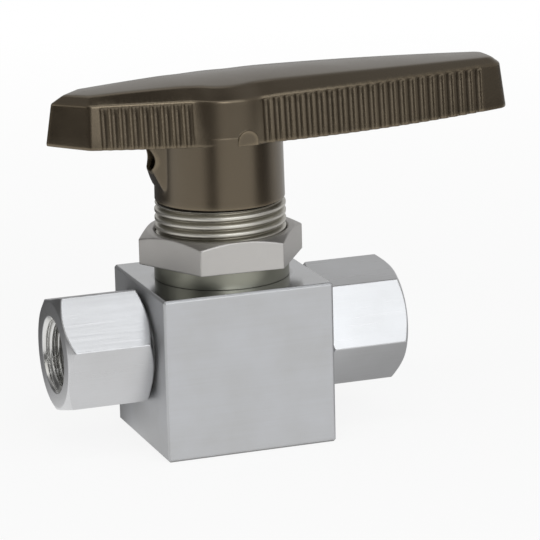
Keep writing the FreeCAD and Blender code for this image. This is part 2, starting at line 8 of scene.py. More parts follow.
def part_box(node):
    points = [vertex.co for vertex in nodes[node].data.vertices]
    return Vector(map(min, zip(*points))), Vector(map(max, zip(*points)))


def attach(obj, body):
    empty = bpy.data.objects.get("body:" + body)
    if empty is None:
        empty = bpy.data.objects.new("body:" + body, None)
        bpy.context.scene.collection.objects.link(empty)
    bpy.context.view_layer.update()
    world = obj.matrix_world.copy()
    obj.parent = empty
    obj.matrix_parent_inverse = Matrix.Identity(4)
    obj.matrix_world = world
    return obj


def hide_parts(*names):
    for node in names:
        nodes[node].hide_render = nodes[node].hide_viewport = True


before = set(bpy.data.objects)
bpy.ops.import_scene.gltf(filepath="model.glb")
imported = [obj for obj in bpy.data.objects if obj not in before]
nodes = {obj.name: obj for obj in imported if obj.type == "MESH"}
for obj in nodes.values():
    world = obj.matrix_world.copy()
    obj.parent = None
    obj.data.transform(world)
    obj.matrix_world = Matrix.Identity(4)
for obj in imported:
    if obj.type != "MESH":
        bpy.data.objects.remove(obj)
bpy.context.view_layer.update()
print("frame loaded with", len(nodes), "nodes")

millimetre = 0.001
fullTurn = 2 * math.pi
sixthTurn = math.radians(60)
flowHeight = sum(corner.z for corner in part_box("left_end_connector")) / 2 / millimetre
black, white = (0.0, 0.0, 0.0), (1.0, 1.0, 1.0)


# Small sums

def clamp(value, low, high):
    return max(low, min(high, value))


def smoothStep(value):
    part = clamp(value, 0.0, 1.0)
    return part * part * (3 - 2 * part)


# The greater of two values, rounded over where they cross
def smoothGreater(first, second, blend):
    return (first + second + math.hypot(first - second, blend)) / 2


# Node trees

# Links a socket or gives it a constant. A colour may come without its alpha.
def feed(tree, socket, value):
    if isinstance(value, bpy.types.NodeSocket):
        tree.links.new(value, socket)
    elif socket.type == "RGBA" and len(value) == 3:
        socket.default_value = (*value, 1.0)
    else:
        socket.default_value = value


def addNode(tree, kind, values=None, **settings):
    node = tree.nodes.new(kind)
    for name, setting in settings.items():
        setattr(node, name, setting)
    for name, value in (values or {}).items():
        feed(tree, node.inputs[name], value)
    return node


def sums(tree, operation, first, second=0.0, third=0.0, clamped=False):
    values = {0: first, 1: second, 2: third}
    return addNode(tree, "ShaderNodeMath", values, operation=operation, use_clamp=clamped).outputs[0]


def vectorSums(tree, operation, first, second=(0.0, 0.0, 0.0)):
    node = addNode(tree, "ShaderNodeVectorMath", {0: first, 1: second}, operation=operation)
    return node.outputs["Value" if operation in ("DOT_PRODUCT", "LENGTH") else "Vector"]


# Takes a value between start and end to one between low and high
def ramp(tree, value, start, end, low=0.0, high=1.0, smooth=False):
    values = {"Value": value, "From Min": start, "From Max": end, "To Min": low, "To Max": high}
    kind = "SMOOTHSTEP" if smooth else "LINEAR"
    return addNode(tree, "ShaderNodeMapRange", values, interpolation_type=kind).outputs[0]


def noise(tree, place, scale, detail, roughness=0.5):
    values = {"Vector": place, "Scale": scale, "Detail": detail, "Roughness": roughness}
    return addNode(tree, "ShaderNodeTexNoise", values).outputs[0]


def objectPlace(tree):
    return addNode(tree, "ShaderNodeTexCoord").outputs["Object"]


def mixColours(tree, factor, first, second):
    values = {0: factor, 6: first, 7: second}  # the colours' sockets
    return addNode(tree, "ShaderNodeMix", values, data_type="RGBA").outputs[2]


def newGroup(name, inputs):
    group = bpy.data.node_groups.new(name, "ShaderNodeTree")
    for socketName, start in inputs.items():
        kind = "NodeSocketVector" if isinstance(start, tuple) else "NodeSocketFloat"
        socket = group.interface.new_socket(name=socketName, in_out="INPUT", socket_type=kind)
        socket.default_value = start
    return group, group.nodes.new("NodeGroupInput").outputs


def giveOut(group, results):
    for name, result in results.items():
        kind = "NodeSocketVector" if result.type == "VECTOR" else "NodeSocketFloat"
        group.interface.new_socket(name=name, in_out="OUTPUT", socket_type=kind)
    way = group.nodes.new("NodeGroupOutput")
    for name, result in results.items():
        group.links.new(result, way.inputs[name])
    return group


def useGroup(tree, group, values):
    return addNode(tree, "ShaderNodeGroup", values, node_tree=group).outputs


effects = {
    "raySamples": 6, "edgeGain": 6.0, "patchGain": 1.6, "patchShift": -0.25, "thinFrom": 0.90,
    "streakRoughness": 0.6, "toneRoughness": 0.55,
}


# Softened edges and the brighter line that handling leaves on them
def makeEdgeGroup():
    group, entry = newGroup("softEdges", {"Radius": 0.0003, "Patchiness": 900.0})
    rounded = addNode(group, "ShaderNodeBevel", {"Radius": entry["Radius"]},
                      samples=effects["raySamples"]).outputs[0]
    flat = addNode(group, "ShaderNodeNewGeometry").outputs["Normal"]
    turned = sums(group, "SUBTRACT", 1.0, vectorSums(group, "DOT_PRODUCT", rounded, flat))
    turned = sums(group, "MULTIPLY", turned, effects["edgeGain"], clamped=True)
    patches = noise(group, objectPlace(group), entry["Patchiness"], detail=3.0)
    broken = sums(group, "MULTIPLY_ADD", patches, effects["patchGain"], effects["patchShift"], clamped=True)
    return giveOut(group, {"Normal": rounded, "Edge": sums(group, "MULTIPLY", turned, broken)})


# Streaks drawn out along the direction with the smallest stretch
def makeGrainGroup():
    group, entry = newGroup("drawnGrain", {"Stretch": (60.0, 4000.0, 4000.0), "Detail": 4.0})
    stretched = vectorSums(group, "MULTIPLY", objectPlace(group), entry["Stretch"])
    streak = noise(group, stretched, 1.0, entry["Detail"], effects["streakRoughness"])
    return giveOut(group, {"Streak": streak})


# Rings left by the lathe, and how far a point lies from the turning axis
def makeTurningGroup():
    group, entry = newGroup("turningMarks", {
        "Centre": (0.0, 0.0, 0.0), "Across": (1.0, 1.0, 0.0), "Fineness": 5000.0})
    moved = vectorSums(group, "SUBTRACT", objectPlace(group), entry["Centre"])
    across = vectorSums(group, "MULTIPLY", moved, entry["Across"])
    along = vectorSums(group, "SUBTRACT", moved, across)
    distance = vectorSums(group, "LENGTH", across)
    step = vectorSums(group, "DOT_PRODUCT", along, (1.0, 1.0, 1.0))
    rings = addNode(group, "ShaderNodeCombineXYZ", {0: distance, 1: step})
    return giveOut(group, {"Mark": noise(group, rings.outputs[0], entry["Fineness"], detail=2.0),
                           "Distance": distance})


# Broad uneven tone, and a fine pebble for moulded or blasted skins
def makeSkinGroup():
    group, entry = newGroup("unevenSkin", {"Broad": 60.0, "Fine": 3500.0})
    place = objectPlace(group)
    return giveOut(group, {"Tone": noise(group, place, entry["Broad"], 4.0, effects["toneRoughness"]),
                           "Pebble": noise(group, place, entry["Fine"], detail=2.0)})


# Painted shade: colour darkened in corners and crevices, where little light reaches
def makeCornerGroup():
    group, entry = newGroup("paintedCornerShade", {"Reach": 0.0012, "Strength": 1.0})
    shut = addNode(group, "ShaderNodeAmbientOcclusion", {"Distance": entry["Reach"]},
                   samples=effects["raySamples"])
    closed = sums(group, "SUBTRACT", 1.0, shut.outputs["AO"])
    return giveOut(group, {"Mask": sums(group, "MULTIPLY", closed, entry["Strength"], clamped=True)})


# Thin ribs and outer corners, painted paler: a painted highlight where ribs catch the light, together with
# rubbed wear
def makeThinHighlightGroup():
    group, entry = newGroup("paintedHighlightAndWear", {"Reach": 0.0009, "Strength": 1.0})
    thin = addNode(group, "ShaderNodeAmbientOcclusion", {"Distance": entry["Reach"]},
                   samples=effects["raySamples"], inside=True)
    shown = sums(group, "MULTIPLY_ADD", thin.outputs["AO"], -1.0, effects["thinFrom"])
    return giveOut(group, {"Mask": sums(group, "MULTIPLY", shown, entry["Strength"], clamped=True)})


edgeGroup = makeEdgeGroup()
thinHighlightGroup = makeThinHighlightGroup()
grainGroup = makeGrainGroup()
turningGroup = makeTurningGroup()
skinGroup = makeSkinGroup()
cornerGroup = makeCornerGroup()
print("effect groups made")


# Materials

materials = {}


# A new material with what every finish has: softened edges and an uneven skin
def newMaterial(name, finish):
    materials[name] = bpy.data.materials.new(name)
    materials[name].use_nodes = True
    tree = materials[name].node_tree
    shader = tree.nodes["Principled BSDF"]
    shader.inputs["Metallic"].default_value = finish["metallic"]
    edges = useGroup(tree, edgeGroup, {"Radius": finish["radius"], "Patchiness": finish["patchiness"]})
    skin = useGroup(tree, skinGroup, {"Broad": finish["broad"], "Fine": finish["fine"]})
    return tree, shader, edges, skin


# Roughness that follows a value round the finish's own
def roughnessAround(tree, value, finish):
    low = finish["roughness"] - finish["spread"] / 2
    return sums(tree, "MULTIPLY_ADD", value, finish["spread"], low)


# Another value where the mask is 1
def swapped(tree, mask, value, other):
    return sums(tree, "MULTIPLY_ADD", sums(tree, "SUBTRACT", other, value), mask, value)


# Tone between a finish's two colours
def toneOf(tree, skin, finish, clamped=True):
    return sums(tree, "MULTIPLY_ADD", skin["Tone"], finish["toneGain"], finish["toneShift"], clamped=clamped)


# Base colour under the painted shade in corners
def cornerShaded(tree, tone, finish):
    colour = mixColours(tree, tone, finish["shade"], finish["colour"])
    dirt = useGroup(tree, cornerGroup, {"Reach": finish["dirtReach"], "Strength": finish["dirt"]})
    return mixColours(tree, dirt["Mask"], colour, finish["dirtColour"])


def dress(tree, shader, finish, edges, height, colour, rough):
    bump = addNode(tree, "ShaderNodeBump", {
        "Height": height, "Strength": finish["relief"], "Distance": finish["bumpDepth"],
        "Normal": edges["Normal"]})
    for socketName, value in (("Base Color", colour), ("Roughness", rough), ("Normal", bump.outputs[0])):
        tree.links.new(value, shader.inputs[socketName])


turningAxes = {
    "z": {"Centre": (0.0, 0.0, 0.0), "Across": (1.0, 1.0, 0.0)},
    "x": {"Centre": (0.0, 0.0, flowHeight * millimetre), "Across": (0.0, 1.0, 1.0)},
}

# Each finish adds to its family's surface below it, or changes it
metalFinishes = {
    "milledBlock": {
        "colour": (0.57, 0.58, 0.605), "shade": (0.47, 0.47, 0.465), "edge": (0.74, 0.74, 0.74),
        "roughness": 0.40, "spread": 0.14, "radius": 0.00035, "grain": (70.0, 5200.0, 2600.0),
        "dirt": 0.8, "topRoughness": 0.16, "sideRoughness": 0.58},
    # drawnHexBar: strong painted shade in corners such as the gap beside the body, and a lighter painted
    # colour inside the port that stands in for light
    "drawnHexBar": {
        "colour": (0.66, 0.665, 0.68), "shade": (0.55, 0.55, 0.55), "edge": (0.84, 0.84, 0.84),
        "roughness": 0.30, "spread": 0.16, "radius": 0.00025, "grain": (60.0, 3000.0, 3000.0),
        "dirt": 1.6, "boreReach": 0.0074, "bore": (0.70, 0.697, 0.68), "boreRoughness": 0.23},
    "machinedNut": {
        "colour": (0.54, 0.525, 0.505), "shade": (0.46, 0.445, 0.425), "edge": (0.70, 0.685, 0.665),
        "roughness": 0.44, "spread": 0.14, "radius": 0.0003, "grain": (900.0, 900.0, 5200.0),
        "dirt": 0.5},
    "springSteel": {
        "colour": (0.45, 0.45, 0.45), "shade": (0.36, 0.36, 0.36), "edge": (0.6, 0.6, 0.6),
        "roughness": 0.30, "spread": 0.12, "grain": (2000.0, 2000.0, 2000.0),
        "relief": 0.03, "dirt": 0.3},
    "darkScrew": {
        "colour": (0.09, 0.085, 0.08), "shade": (0.05, 0.047, 0.044), "edge": (0.2, 0.19, 0.18),
        "roughness": 0.42, "spread": 0.12, "grain": (2600.0, 2600.0, 2600.0),
        "dirt": 0.5},
    "brassBar": {
        "colour": (0.62, 0.43, 0.17), "shade": (0.50, 0.33, 0.12), "edge": (0.78, 0.58, 0.28),
        "roughness": 0.32, "spread": 0.14, "grain": (2600.0, 2600.0, 90.0),
        "relief": 0.04, "dirt": 0.4},
}
metalSurface = {
    "metallic": 1.0, "patchiness": 900.0, "broad": 90.0, "fine": 3500.0, "toneGain": 2.2, "toneShift": -0.6,
    "streakShare": 0.5, "dirtReach": 0.0008, "dirtColour": (0.030, 0.028, 0.022), "relief": 0.05,
    "bumpDepth": 0.00005, "radius": 0.0001, "facingFrom": 0.9,
}


# Machined or drawn metal: streaks, uneven tone, worn edges and painted shade in corners
def metalMaterial(name, finish):
    tree, shader, edges, skin = newMaterial(name, finish)
    streak = useGroup(tree, grainGroup, {"Stretch": finish["grain"]})["Streak"]
    tone = sums(tree, "MULTIPLY", toneOf(tree, skin, finish), 1 - finish["streakShare"])
    tone = sums(tree, "MULTIPLY_ADD", streak, finish["streakShare"], tone, clamped=True)
    colour = mixColours(tree, edges["Edge"], cornerShaded(tree, tone, finish), finish["edge"])
    rough = roughnessAround(tree, streak, finish)
    if "bore" in finish:  # inside the port: lighter painted colour standing in for light on the thread, over the painted corner shade, and smoother metal
        distance = useGroup(tree, turningGroup, turningAxes["x"])["Distance"]
        inside = sums(tree, "LESS_THAN", distance, finish["boreReach"])
        colour = mixColours(tree, inside, colour, finish["bore"])
        rough = swapped(tree, inside, rough, finish["boreRoughness"])
    if "topRoughness" in finish:  # smoother on top, duller on the side to the left
        place = addNode(tree, "ShaderNodeTexCoord")
        facing = addNode(tree, "ShaderNodeSeparateXYZ", {"Vector": place.outputs["Normal"]}).outputs
        leftward = sums(tree, "MULTIPLY", facing["X"], -1.0)
        for side, value in ((facing["Z"], finish["topRoughness"]), (leftward, finish["sideRoughness"])):
            mask = sums(tree, "GREATER_THAN", side, finish["facingFrom"])
            rough = swapped(tree, mask, rough, value)
    dress(tree, shader, finish, edges, streak, colour, rough)


turnedFinishes = {
    # turnedThread: the root colour is painted shade in the thread's root; the collar colour is a duller
    # finish together with painted shade under the panel nut
    "turnedThread": {
        "colour": (0.65, 0.63, 0.57), "root": (0.31, 0.29, 0.24), "roughness": 0.38, "radius": 0.00012,
        "rootAt": 0.01180, "crestAt": 0.01245, "collarAt": 0.01285, "collar": (0.30, 0.30, 0.25)},
    "turnedSteel": {"colour": (0.60, 0.60, 0.60)},
    "polishedBall": {
        "colour": (0.66, 0.66, 0.66), "root": (0.6, 0.6, 0.6), "roughness": 0.12, "spread": 0.06},
    "turnedSleeve": {"colour": (0.58, 0.58, 0.58), "axis": "x", "radius": 0.0001},
}
turnedSurface = {
    "metallic": 1.0, "patchiness": 900.0, "broad": 120.0, "fine": 3500.0, "toneGain": 0.5, "toneShift": 0.7,
    "root": (0.40, 0.40, 0.39), "roughness": 0.28, "spread": 0.14, "axis": "z", "rootAt": 0.0,
    "crestAt": 0.002, "radius": 0.00015, "relief": 0.06, "bumpDepth": 0.00005,
}


# Turned metal: lathe rings round its axis, and painted shade darkening it towards a thread's root
def turnedMaterial(name, finish):
    tree, shader, edges, skin = newMaterial(name, finish)
    marks = useGroup(tree, turningGroup, turningAxes[finish["axis"]])
    rise = sums(tree, "SUBTRACT", marks["Distance"], finish["rootAt"])
    rise = sums(tree, "DIVIDE", rise, finish["crestAt"] - finish["rootAt"], clamped=True)
    outOfRootShade = sums(tree, "MULTIPLY", rise, toneOf(tree, skin, finish, clamped=False), clamped=True)
    # Painted shade: the root colour darkens the metal towards a thread's root
    colour = mixColours(tree, outOfRootShade, finish["root"], finish["colour"])
    # The collar is painted darker: a duller finish together with painted shade under the panel nut
    if "collar" in finish:
        beyond = sums(tree, "GREATER_THAN", marks["Distance"], finish["collarAt"])
        colour = mixColours(tree, beyond, colour, finish["collar"])
    dress(tree, shader, finish, edges, marks["Mark"], colour, roughnessAround(tree, marks["Mark"], finish))


plasticFinishes = {
    # blackNylon: its rubbed colour is a painted highlight on thin ribs with some wear, and its corner value
    # paints shade in the flutes' valleys
    "blackNylon": {
        "colour": (0.008, 0.0045, 0.002), "shade": (0.005, 0.0028, 0.0013), "edge": (0.036, 0.026, 0.015),
        "rubbed": (0.100, 0.078, 0.050), "tint": (1.0, 0.83, 0.60), "roughness": 0.24, "spread": 0.08,
        "radius": 0.0003, "fine": 2600.0, "relief": 0.12, "level": 0.98, "refraction": 1.68,
        "proud": 3.2, "dirt": 1.2},
    "seatPlastic": {
        "colour": (0.50, 0.40, 0.27), "shade": (0.44, 0.34, 0.22),
        "edge": (0.56, 0.47, 0.34), "roughness": 0.45, "spread": 0.12, "fine": 5000.0},
    "whiteFluoroplastic": {
        "colour": (0.80, 0.80, 0.78), "shade": (0.74, 0.74, 0.71),
        "edge": (0.85, 0.85, 0.84), "roughness": 0.50, "spread": 0.10, "fine": 5000.0},
    "blackRubber": {
        "colour": (0.020, 0.020, 0.021), "shade": (0.014, 0.014, 0.015),
        "edge": (0.04, 0.04, 0.041), "roughness": 0.62, "spread": 0.14, "fine": 6000.0,
        "relief": 0.10, "level": 0.4},
}
plasticSurface = {
    "metallic": 0.0, "patchiness": 500.0, "broad": 70.0, "toneGain": 2.4, "toneShift": -0.7, "radius": 0.0001,
    "level": 0.5, "refraction": 1.5, "tint": white, "dirt": 0.3, "dirtReach": 0.0010,
    "dirtColour": (0.004, 0.003, 0.002), "proud": 0.5, "relief": 0.05, "bumpDepth": 0.00006,
}


# Moulded plastic or rubber: pebbled skin, uneven tone, paler worn edges, painted highlight with rubbed wear
# on thin ribs, and painted shade in corners
def plasticMaterial(name, finish):
    tree, shader, edges, skin = newMaterial(name, finish)
    shader.inputs["Specular IOR Level"].default_value = finish["level"]
    shader.inputs["IOR"].default_value = finish["refraction"]
    shader.inputs["Specular Tint"].default_value = (*finish["tint"], 1.0)
    tone = toneOf(tree, skin, finish)
    # Thin ribs painted paler: a painted highlight together with rubbed wear
    proud = useGroup(tree, thinHighlightGroup, {"Strength": finish["proud"]})
    rubbed = finish.get("rubbed", finish["edge"])
    colour = mixColours(tree, proud["Mask"], cornerShaded(tree, tone, finish), rubbed)
    colour = mixColours(tree, edges["Edge"], colour, finish["edge"])
    dress(tree, shader, finish, edges, skin["Pebble"], colour, roughnessAround(tree, tone, finish))


for finishes, surface, makeMaterial in ((metalFinishes, metalSurface, metalMaterial),
                                        (turnedFinishes, turnedSurface, turnedMaterial),
                                        (plasticFinishes, plasticSurface, plasticMaterial)):
    for finishName, finish in finishes.items():
        makeMaterial(finishName, {**surface, **finish})
print("materials made:", len(materials))

# The finish of each node, told by the end of its name
nodeFinishes = {
    "valve_body": "milledBlock", "end_connector": "drawnHexBar", "panel_nut": "machinedNut",
    "springs": "springSteel", "set_screw": "darkScrew", "insert": "brassBar", "bonnet": "turnedThread",
    "pin": "turnedSteel", "gland": "turnedSteel", "packing_nut": "turnedSteel", "ball_stem": "polishedBall",
    "carrier": "turnedSleeve", "handle": "blackNylon", "bearing": "seatPlastic", "washer": "seatPlastic",
    "seat": "seatPlastic", "backup_ring": "whiteFluoroplastic", "oring": "blackRubber",
}
for nodeName, node in nodes.items():
    material = next(materials[finishName] for ending, finishName in nodeFinishes.items()
                    if nodeName.endswith(ending))
    if not node.material_slots:
        node.data.materials.append(material)
    for materialSlot in node.material_slots:
        materialSlot.material = material
print("nodes finished")


# Meshes and pieces

weldWithin = 0.004 * millimetre
thinUnder = 0.002 * millimetre


def putIn(name, data):
    item = bpy.data.objects.new(name, data)
    bpy.context.scene.collection.objects.link(item)
    return item


def meshFrom(name, skin):
    mesh = bpy.data.meshes.new(name)
    skin.to_mesh(mesh)
    skin.free()
    return mesh


def closedMesh(name, skin):
    bmesh.ops.recalc_face_normals(skin, faces=skin.faces)
    return meshFrom(name, skin)


def addPiece(name, mesh, material, body, replaced, sharpAngle=38.0):
    mesh.shade_smooth()
    mesh.set_sharp_from_angle(angle=math.radians(sharpAngle))
    mesh.materials.clear()
    mesh.materials.append(materials[material])
    piece = putIn(name, mesh)
    weighted = piece.modifiers.new("weightedNormals", "WEIGHTED_NORMAL")
    weighted.keep_sharp = True
    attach(piece, body)
    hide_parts(replaced)
    return piece


# Turned and hexagonal shapes. Profiles are in millimetres: along the axis, then out from it.

# Points that carry a path round a corner in a soft bend
def bend(before, corner, after, rounding, steps=3, mostOfRun=0.45):
    back, ahead = before - corner, after - corner
    start = corner + back.normalized() * min(rounding, back.length * mostOfRun)
    end = corner + ahead.normalized() * min(rounding, ahead.length * mostOfRun)
    shares = [step / steps for step in range(steps + 1)]
    return [start.lerp(corner, share).lerp(corner.lerp(end, share), share) for share in shares]


# Each corner of a profile is (along, out, round), and a round of 0 keeps it sharp
def softened(corners):
    points = []
    for index, (along, out, rounding) in enumerate(corners):
        before, after = corners[index - 1], corners[(index + 1) % len(corners)]
        if rounding > 0:
            soft = bend(Vector(before[:2]), Vector((along, out)), Vector(after[:2]), rounding)
            points += [tuple(point) for point in soft]
        else:
            points.append((along, out))
    return points


# Rows of a screw thread at one angle, following the helix and trimmed flat at both ends
def threadRows(thread, angle, outAt):
    low, high, pitch, perTurn = thread["low"], thread["high"], thread["pitch"], thread["rowsPerTurn"]
    rows = []
    for step in range(perTurn * (math.ceil((high - low) / pitch) + 1) + 1):
        along = clamp(low + (step / perTurn - 1 + angle / fullTurn) * pitch, low, high)
        phase = ((along - low) / pitch - angle / fullTurn - thread["start"]) % 1.0
        fromCrest = abs(phase - 0.5) * 2
        slope = (fromCrest - thread["crestShare"]) / (thread["rootShare"] - thread["crestShare"])
        slope = clamp(slope, 0, 1)
        fall = (slope + smoothStep(slope)) / 2
        rows.append((along, outAt(along, thread["crest"] + (thread["root"] - thread["crest"]) * fall)))
    return rows


# Joins loops of points round an axis into one closed skin. A thread's rows meet one turn further on.
def skinFromLoops(name, loops, threadFrom=0, threadTo=0, perTurn=0):
    skin = bmesh.new()
    columns = [[skin.verts.new(Vector(point) * millimetre) for point in loop] for loop in loops]
    count = len(loops[0])

    def beside(column, row):
        if column + 1 < len(columns):
            return columns[column + 1][row]
        if threadFrom <= row <= threadTo:
            row = clamp(row + perTurn, threadFrom, threadTo)
        return columns[0][row]

    for column in range(len(columns)):
        for row in range(count):
            after = (row + 1) % count
            corners = (columns[column][row], beside(column, row), beside(column, after),
                       columns[column][after])
            if len(set(corners)) == 4:
                skin.faces.new(corners)
    bmesh.ops.remove_doubles(skin, verts=skin.verts, dist=weldWithin)
    bmesh.ops.dissolve_degenerate(skin, edges=skin.edges, dist=thinUnder)
    return closedMesh(name, skin)


# The points of a profile at one angle round the stem axis
def turnedOut(angle, profile, lift=0.0):
    return [(out * math.cos(angle), out * math.sin(angle), lift + along) for along, out in profile]


def evenAngles(count):
    return [fullTurn * step / count for step in range(count)]


# Half the angle that a rounded hexagon's flat takes up, seen from the axis
def flatHalfAngle(flat, rounding):
    return math.atan2((flat - rounding) * math.tan(sixthTurn / 2), flat)


# Distance from the axis to a hexagon with rounded corners, one of them at the angle turn
def hexagonOut(angle, size, turn):
    flat, rounding = size["acrossFlats"] / 2, size["cornerRound"]
    fromCorner = abs((angle - turn + sixthTurn / 2) % sixthTurn - sixthTurn / 2)
    fromFlat = sixthTurn / 2 - fromCorner
    if fromFlat <= flatHalfAngle(flat, rounding):
        return flat / math.cos(fromFlat)
    centre = (flat - rounding) / math.cos(sixthTurn / 2)
    rest = max(rounding ** 2 - (centre * math.sin(fromCorner)) ** 2, 0.0)
    return centre * math.cos(fromCorner) + math.sqrt(rest)


# Angles round a hexagon, with a close set at every corner
def hexagonAngles(size, turn, flatSteps=14):
    cornerHalf = sixthTurn / 2 - flatHalfAngle(size["acrossFlats"] / 2, size["cornerRound"])
    flatSpan = sixthTurn - 2 * cornerHalf
    angles = []
    for corner in range(6):
        middle = turn + corner * sixthTurn
        angles += [middle + cornerHalf * step / 2 for step in range(-2, 3)]
        angles += [middle + cornerHalf + flatSpan * step / flatSteps for step in range(1, flatSteps)]
    return sorted(angle % fullTurn for angle in angles)


bonnet = {
    "bottom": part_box("bonnet")[0].z / millimetre, "blockTop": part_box("valve_body")[1].z / millimetre,
    "top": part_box("bonnet")[1].z / millimetre, "spigot": 10.3, "major": 12.7, "depth": 0.93, "sides": 168,
    "thread": {"pitch": 25.4 / 16, "rowsPerTurn": 14, "crestShare": 0.30, "rootShare": 0.86, "start": 0.298},
    "leadIn": 0.4, "leadInSlope": 1.0, "collar": 13.1, "collarHeight": 3.4, "collarRound": 0.3,
    "sealGroove": (0.5, 1.3), "sealFloor": 9.05, "chamber": 6.85, "webBottom": 27.7, "web": 3.3,
    "stemBore": 4.05, "packingBore": 6.6, "nutBore": 7.45, "nutSeat": 40.9,
    "mouthRound": 0.25, "footRound": 0.2, "innerRound": 0.15, "fineRound": 0.1,
}


# Bonnet: spigot and seal groove below, plain collar and panel thread above, packing chamber inside
def makeBonnet(size):
    collarTop = size["blockTop"] + size["collarHeight"]
    root = size["major"] - size["depth"]
    thread = {**size["thread"], "low": collarTop, "high": size["top"], "crest": size["major"], "root": root}
    leadFrom = size["top"] - size["leadIn"]
    grooveFrom = size["bottom"] + size["sealGroove"][0]
    grooveTo = grooveFrom + size["sealGroove"][1]
    spigot, footRound = size["spigot"], size["footRound"]
    fineRound, innerRound = size["fineRound"], size["innerRound"]
    below = softened([
        (size["webBottom"], size["chamber"], 0), (size["bottom"], size["chamber"], innerRound),
        (size["bottom"], spigot, footRound), (grooveFrom, spigot, fineRound),
        (grooveFrom, size["sealFloor"], fineRound), (grooveTo, size["sealFloor"], fineRound),
        (grooveTo, spigot, fineRound), (size["blockTop"], spigot, fineRound),
        (size["blockTop"], size["collar"], fineRound), (collarTop, size["collar"], size["collarRound"]),
        (collarTop, root, 0)])
    packingFloor = size["webBottom"] + size["web"]
    inside = softened([
        (size["top"], size["nutBore"], size["mouthRound"]), (size["nutSeat"], size["nutBore"], innerRound),
        (size["nutSeat"], size["packingBore"], innerRound), (packingFloor, size["packingBore"], footRound),
        (packingFloor, size["stemBore"], innerRound), (size["webBottom"], size["stemBore"], innerRound)])
    loops = []
    for angle in evenAngles(size["sides"]):
        rows = threadRows(thread, angle, lambda along, out: min(
            out, size["major"] - max(along - leadFrom, 0) * size["leadInSlope"]))
        loops.append(turnedOut(angle, below + rows + inside))
    last = len(below) + len(rows) - 1
    mesh = skinFromLoops("bonnetSkin", loops, len(below), last, thread["rowsPerTurn"])
    return addPiece("threadedBonnet", mesh, "turnedThread", "body", "bonnet", 60.0)


makeBonnet(bonnet)
print("bonnet made")

panelNut = {
    "bottom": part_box("panel_nut")[0].z / millimetre, "top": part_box("panel_nut")[1].z / millimetre,
    "acrossFlats": 28.575, "turn": math.radians(177.6), "cornerRound": 0.35, "chamferOut": 14.25,
    "chamferAngle": math.radians(25), "edgeRound": 0.22, "bore": 12.76, "countersinkOut": 13.15,
    "fineRound": 0.1,
}


# Hexagonal nut: corners chamfered on top only, countersunk bore
def makePanelNut(size):
    bottom, top, edgeRound, fineRound = size["bottom"], size["top"], size["edgeRound"], size["fineRound"]
    sink = size["countersinkOut"] - size["bore"]
    loops = []
    for angle in hexagonAngles(size, size["turn"]):
        out = hexagonOut(angle, size, size["turn"])
        drop = (out - size["chamferOut"]) * math.tan(size["chamferAngle"])
        loops.append(turnedOut(angle, softened([
            (bottom, out, edgeRound), (top - drop, out, edgeRound), (top, size["chamferOut"], edgeRound),
            (top, size["countersinkOut"], fineRound), (top - sink, size["bore"], fineRound),
            (bottom + sink, size["bore"], fineRound), (bottom, size["countersinkOut"], fineRound)])))
    mesh = skinFromLoops("panelNutSkin", loops)
    return addPiece("hexPanelNut", mesh, "machinedNut", "panel_nut", "panel_nut")


makePanelNut(panelNut)
print("panel nut made")

connector = {
    "reach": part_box("right_end_connector")[1].x / millimetre,
    "nose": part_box("right_end_connector")[0].x / millimetre,
    "acrossFlats": 21.4, "turns": {"left": math.radians(45.5), "right": math.radians(70.8)},
    "cornerRound": 0.3, "hexFrom": 17.75, "innerTurn": 0.9, "innerOut": 10.65, "outerOut": 10.35,
    "edgeRound": 0.2, "fineRound": 0.1, "shank": 9.525, "noseChamfer": 0.6, "noseRound": 0.15,
    "sealFrom": 14.75, "sealTo": 15.85, "sealFloor": 8.475, "tailBore": 3.95, "tailFloor": 15.18,
    "passage": 3.55, "portFloor": 19.6, "portOut": 5.7, "portCrest": 6.15, "portRoot": 7.1,
    "taper": 1 / 32, "mouthOut": 7.5, "mouthSlope": 1.0, "mouthLap": 0.02,
    "thread": {"pitch": 25.4 / 18, "rowsPerTurn": 12, "crestShare": 0.14, "rootShare": 0.82, "start": 0.0},
}


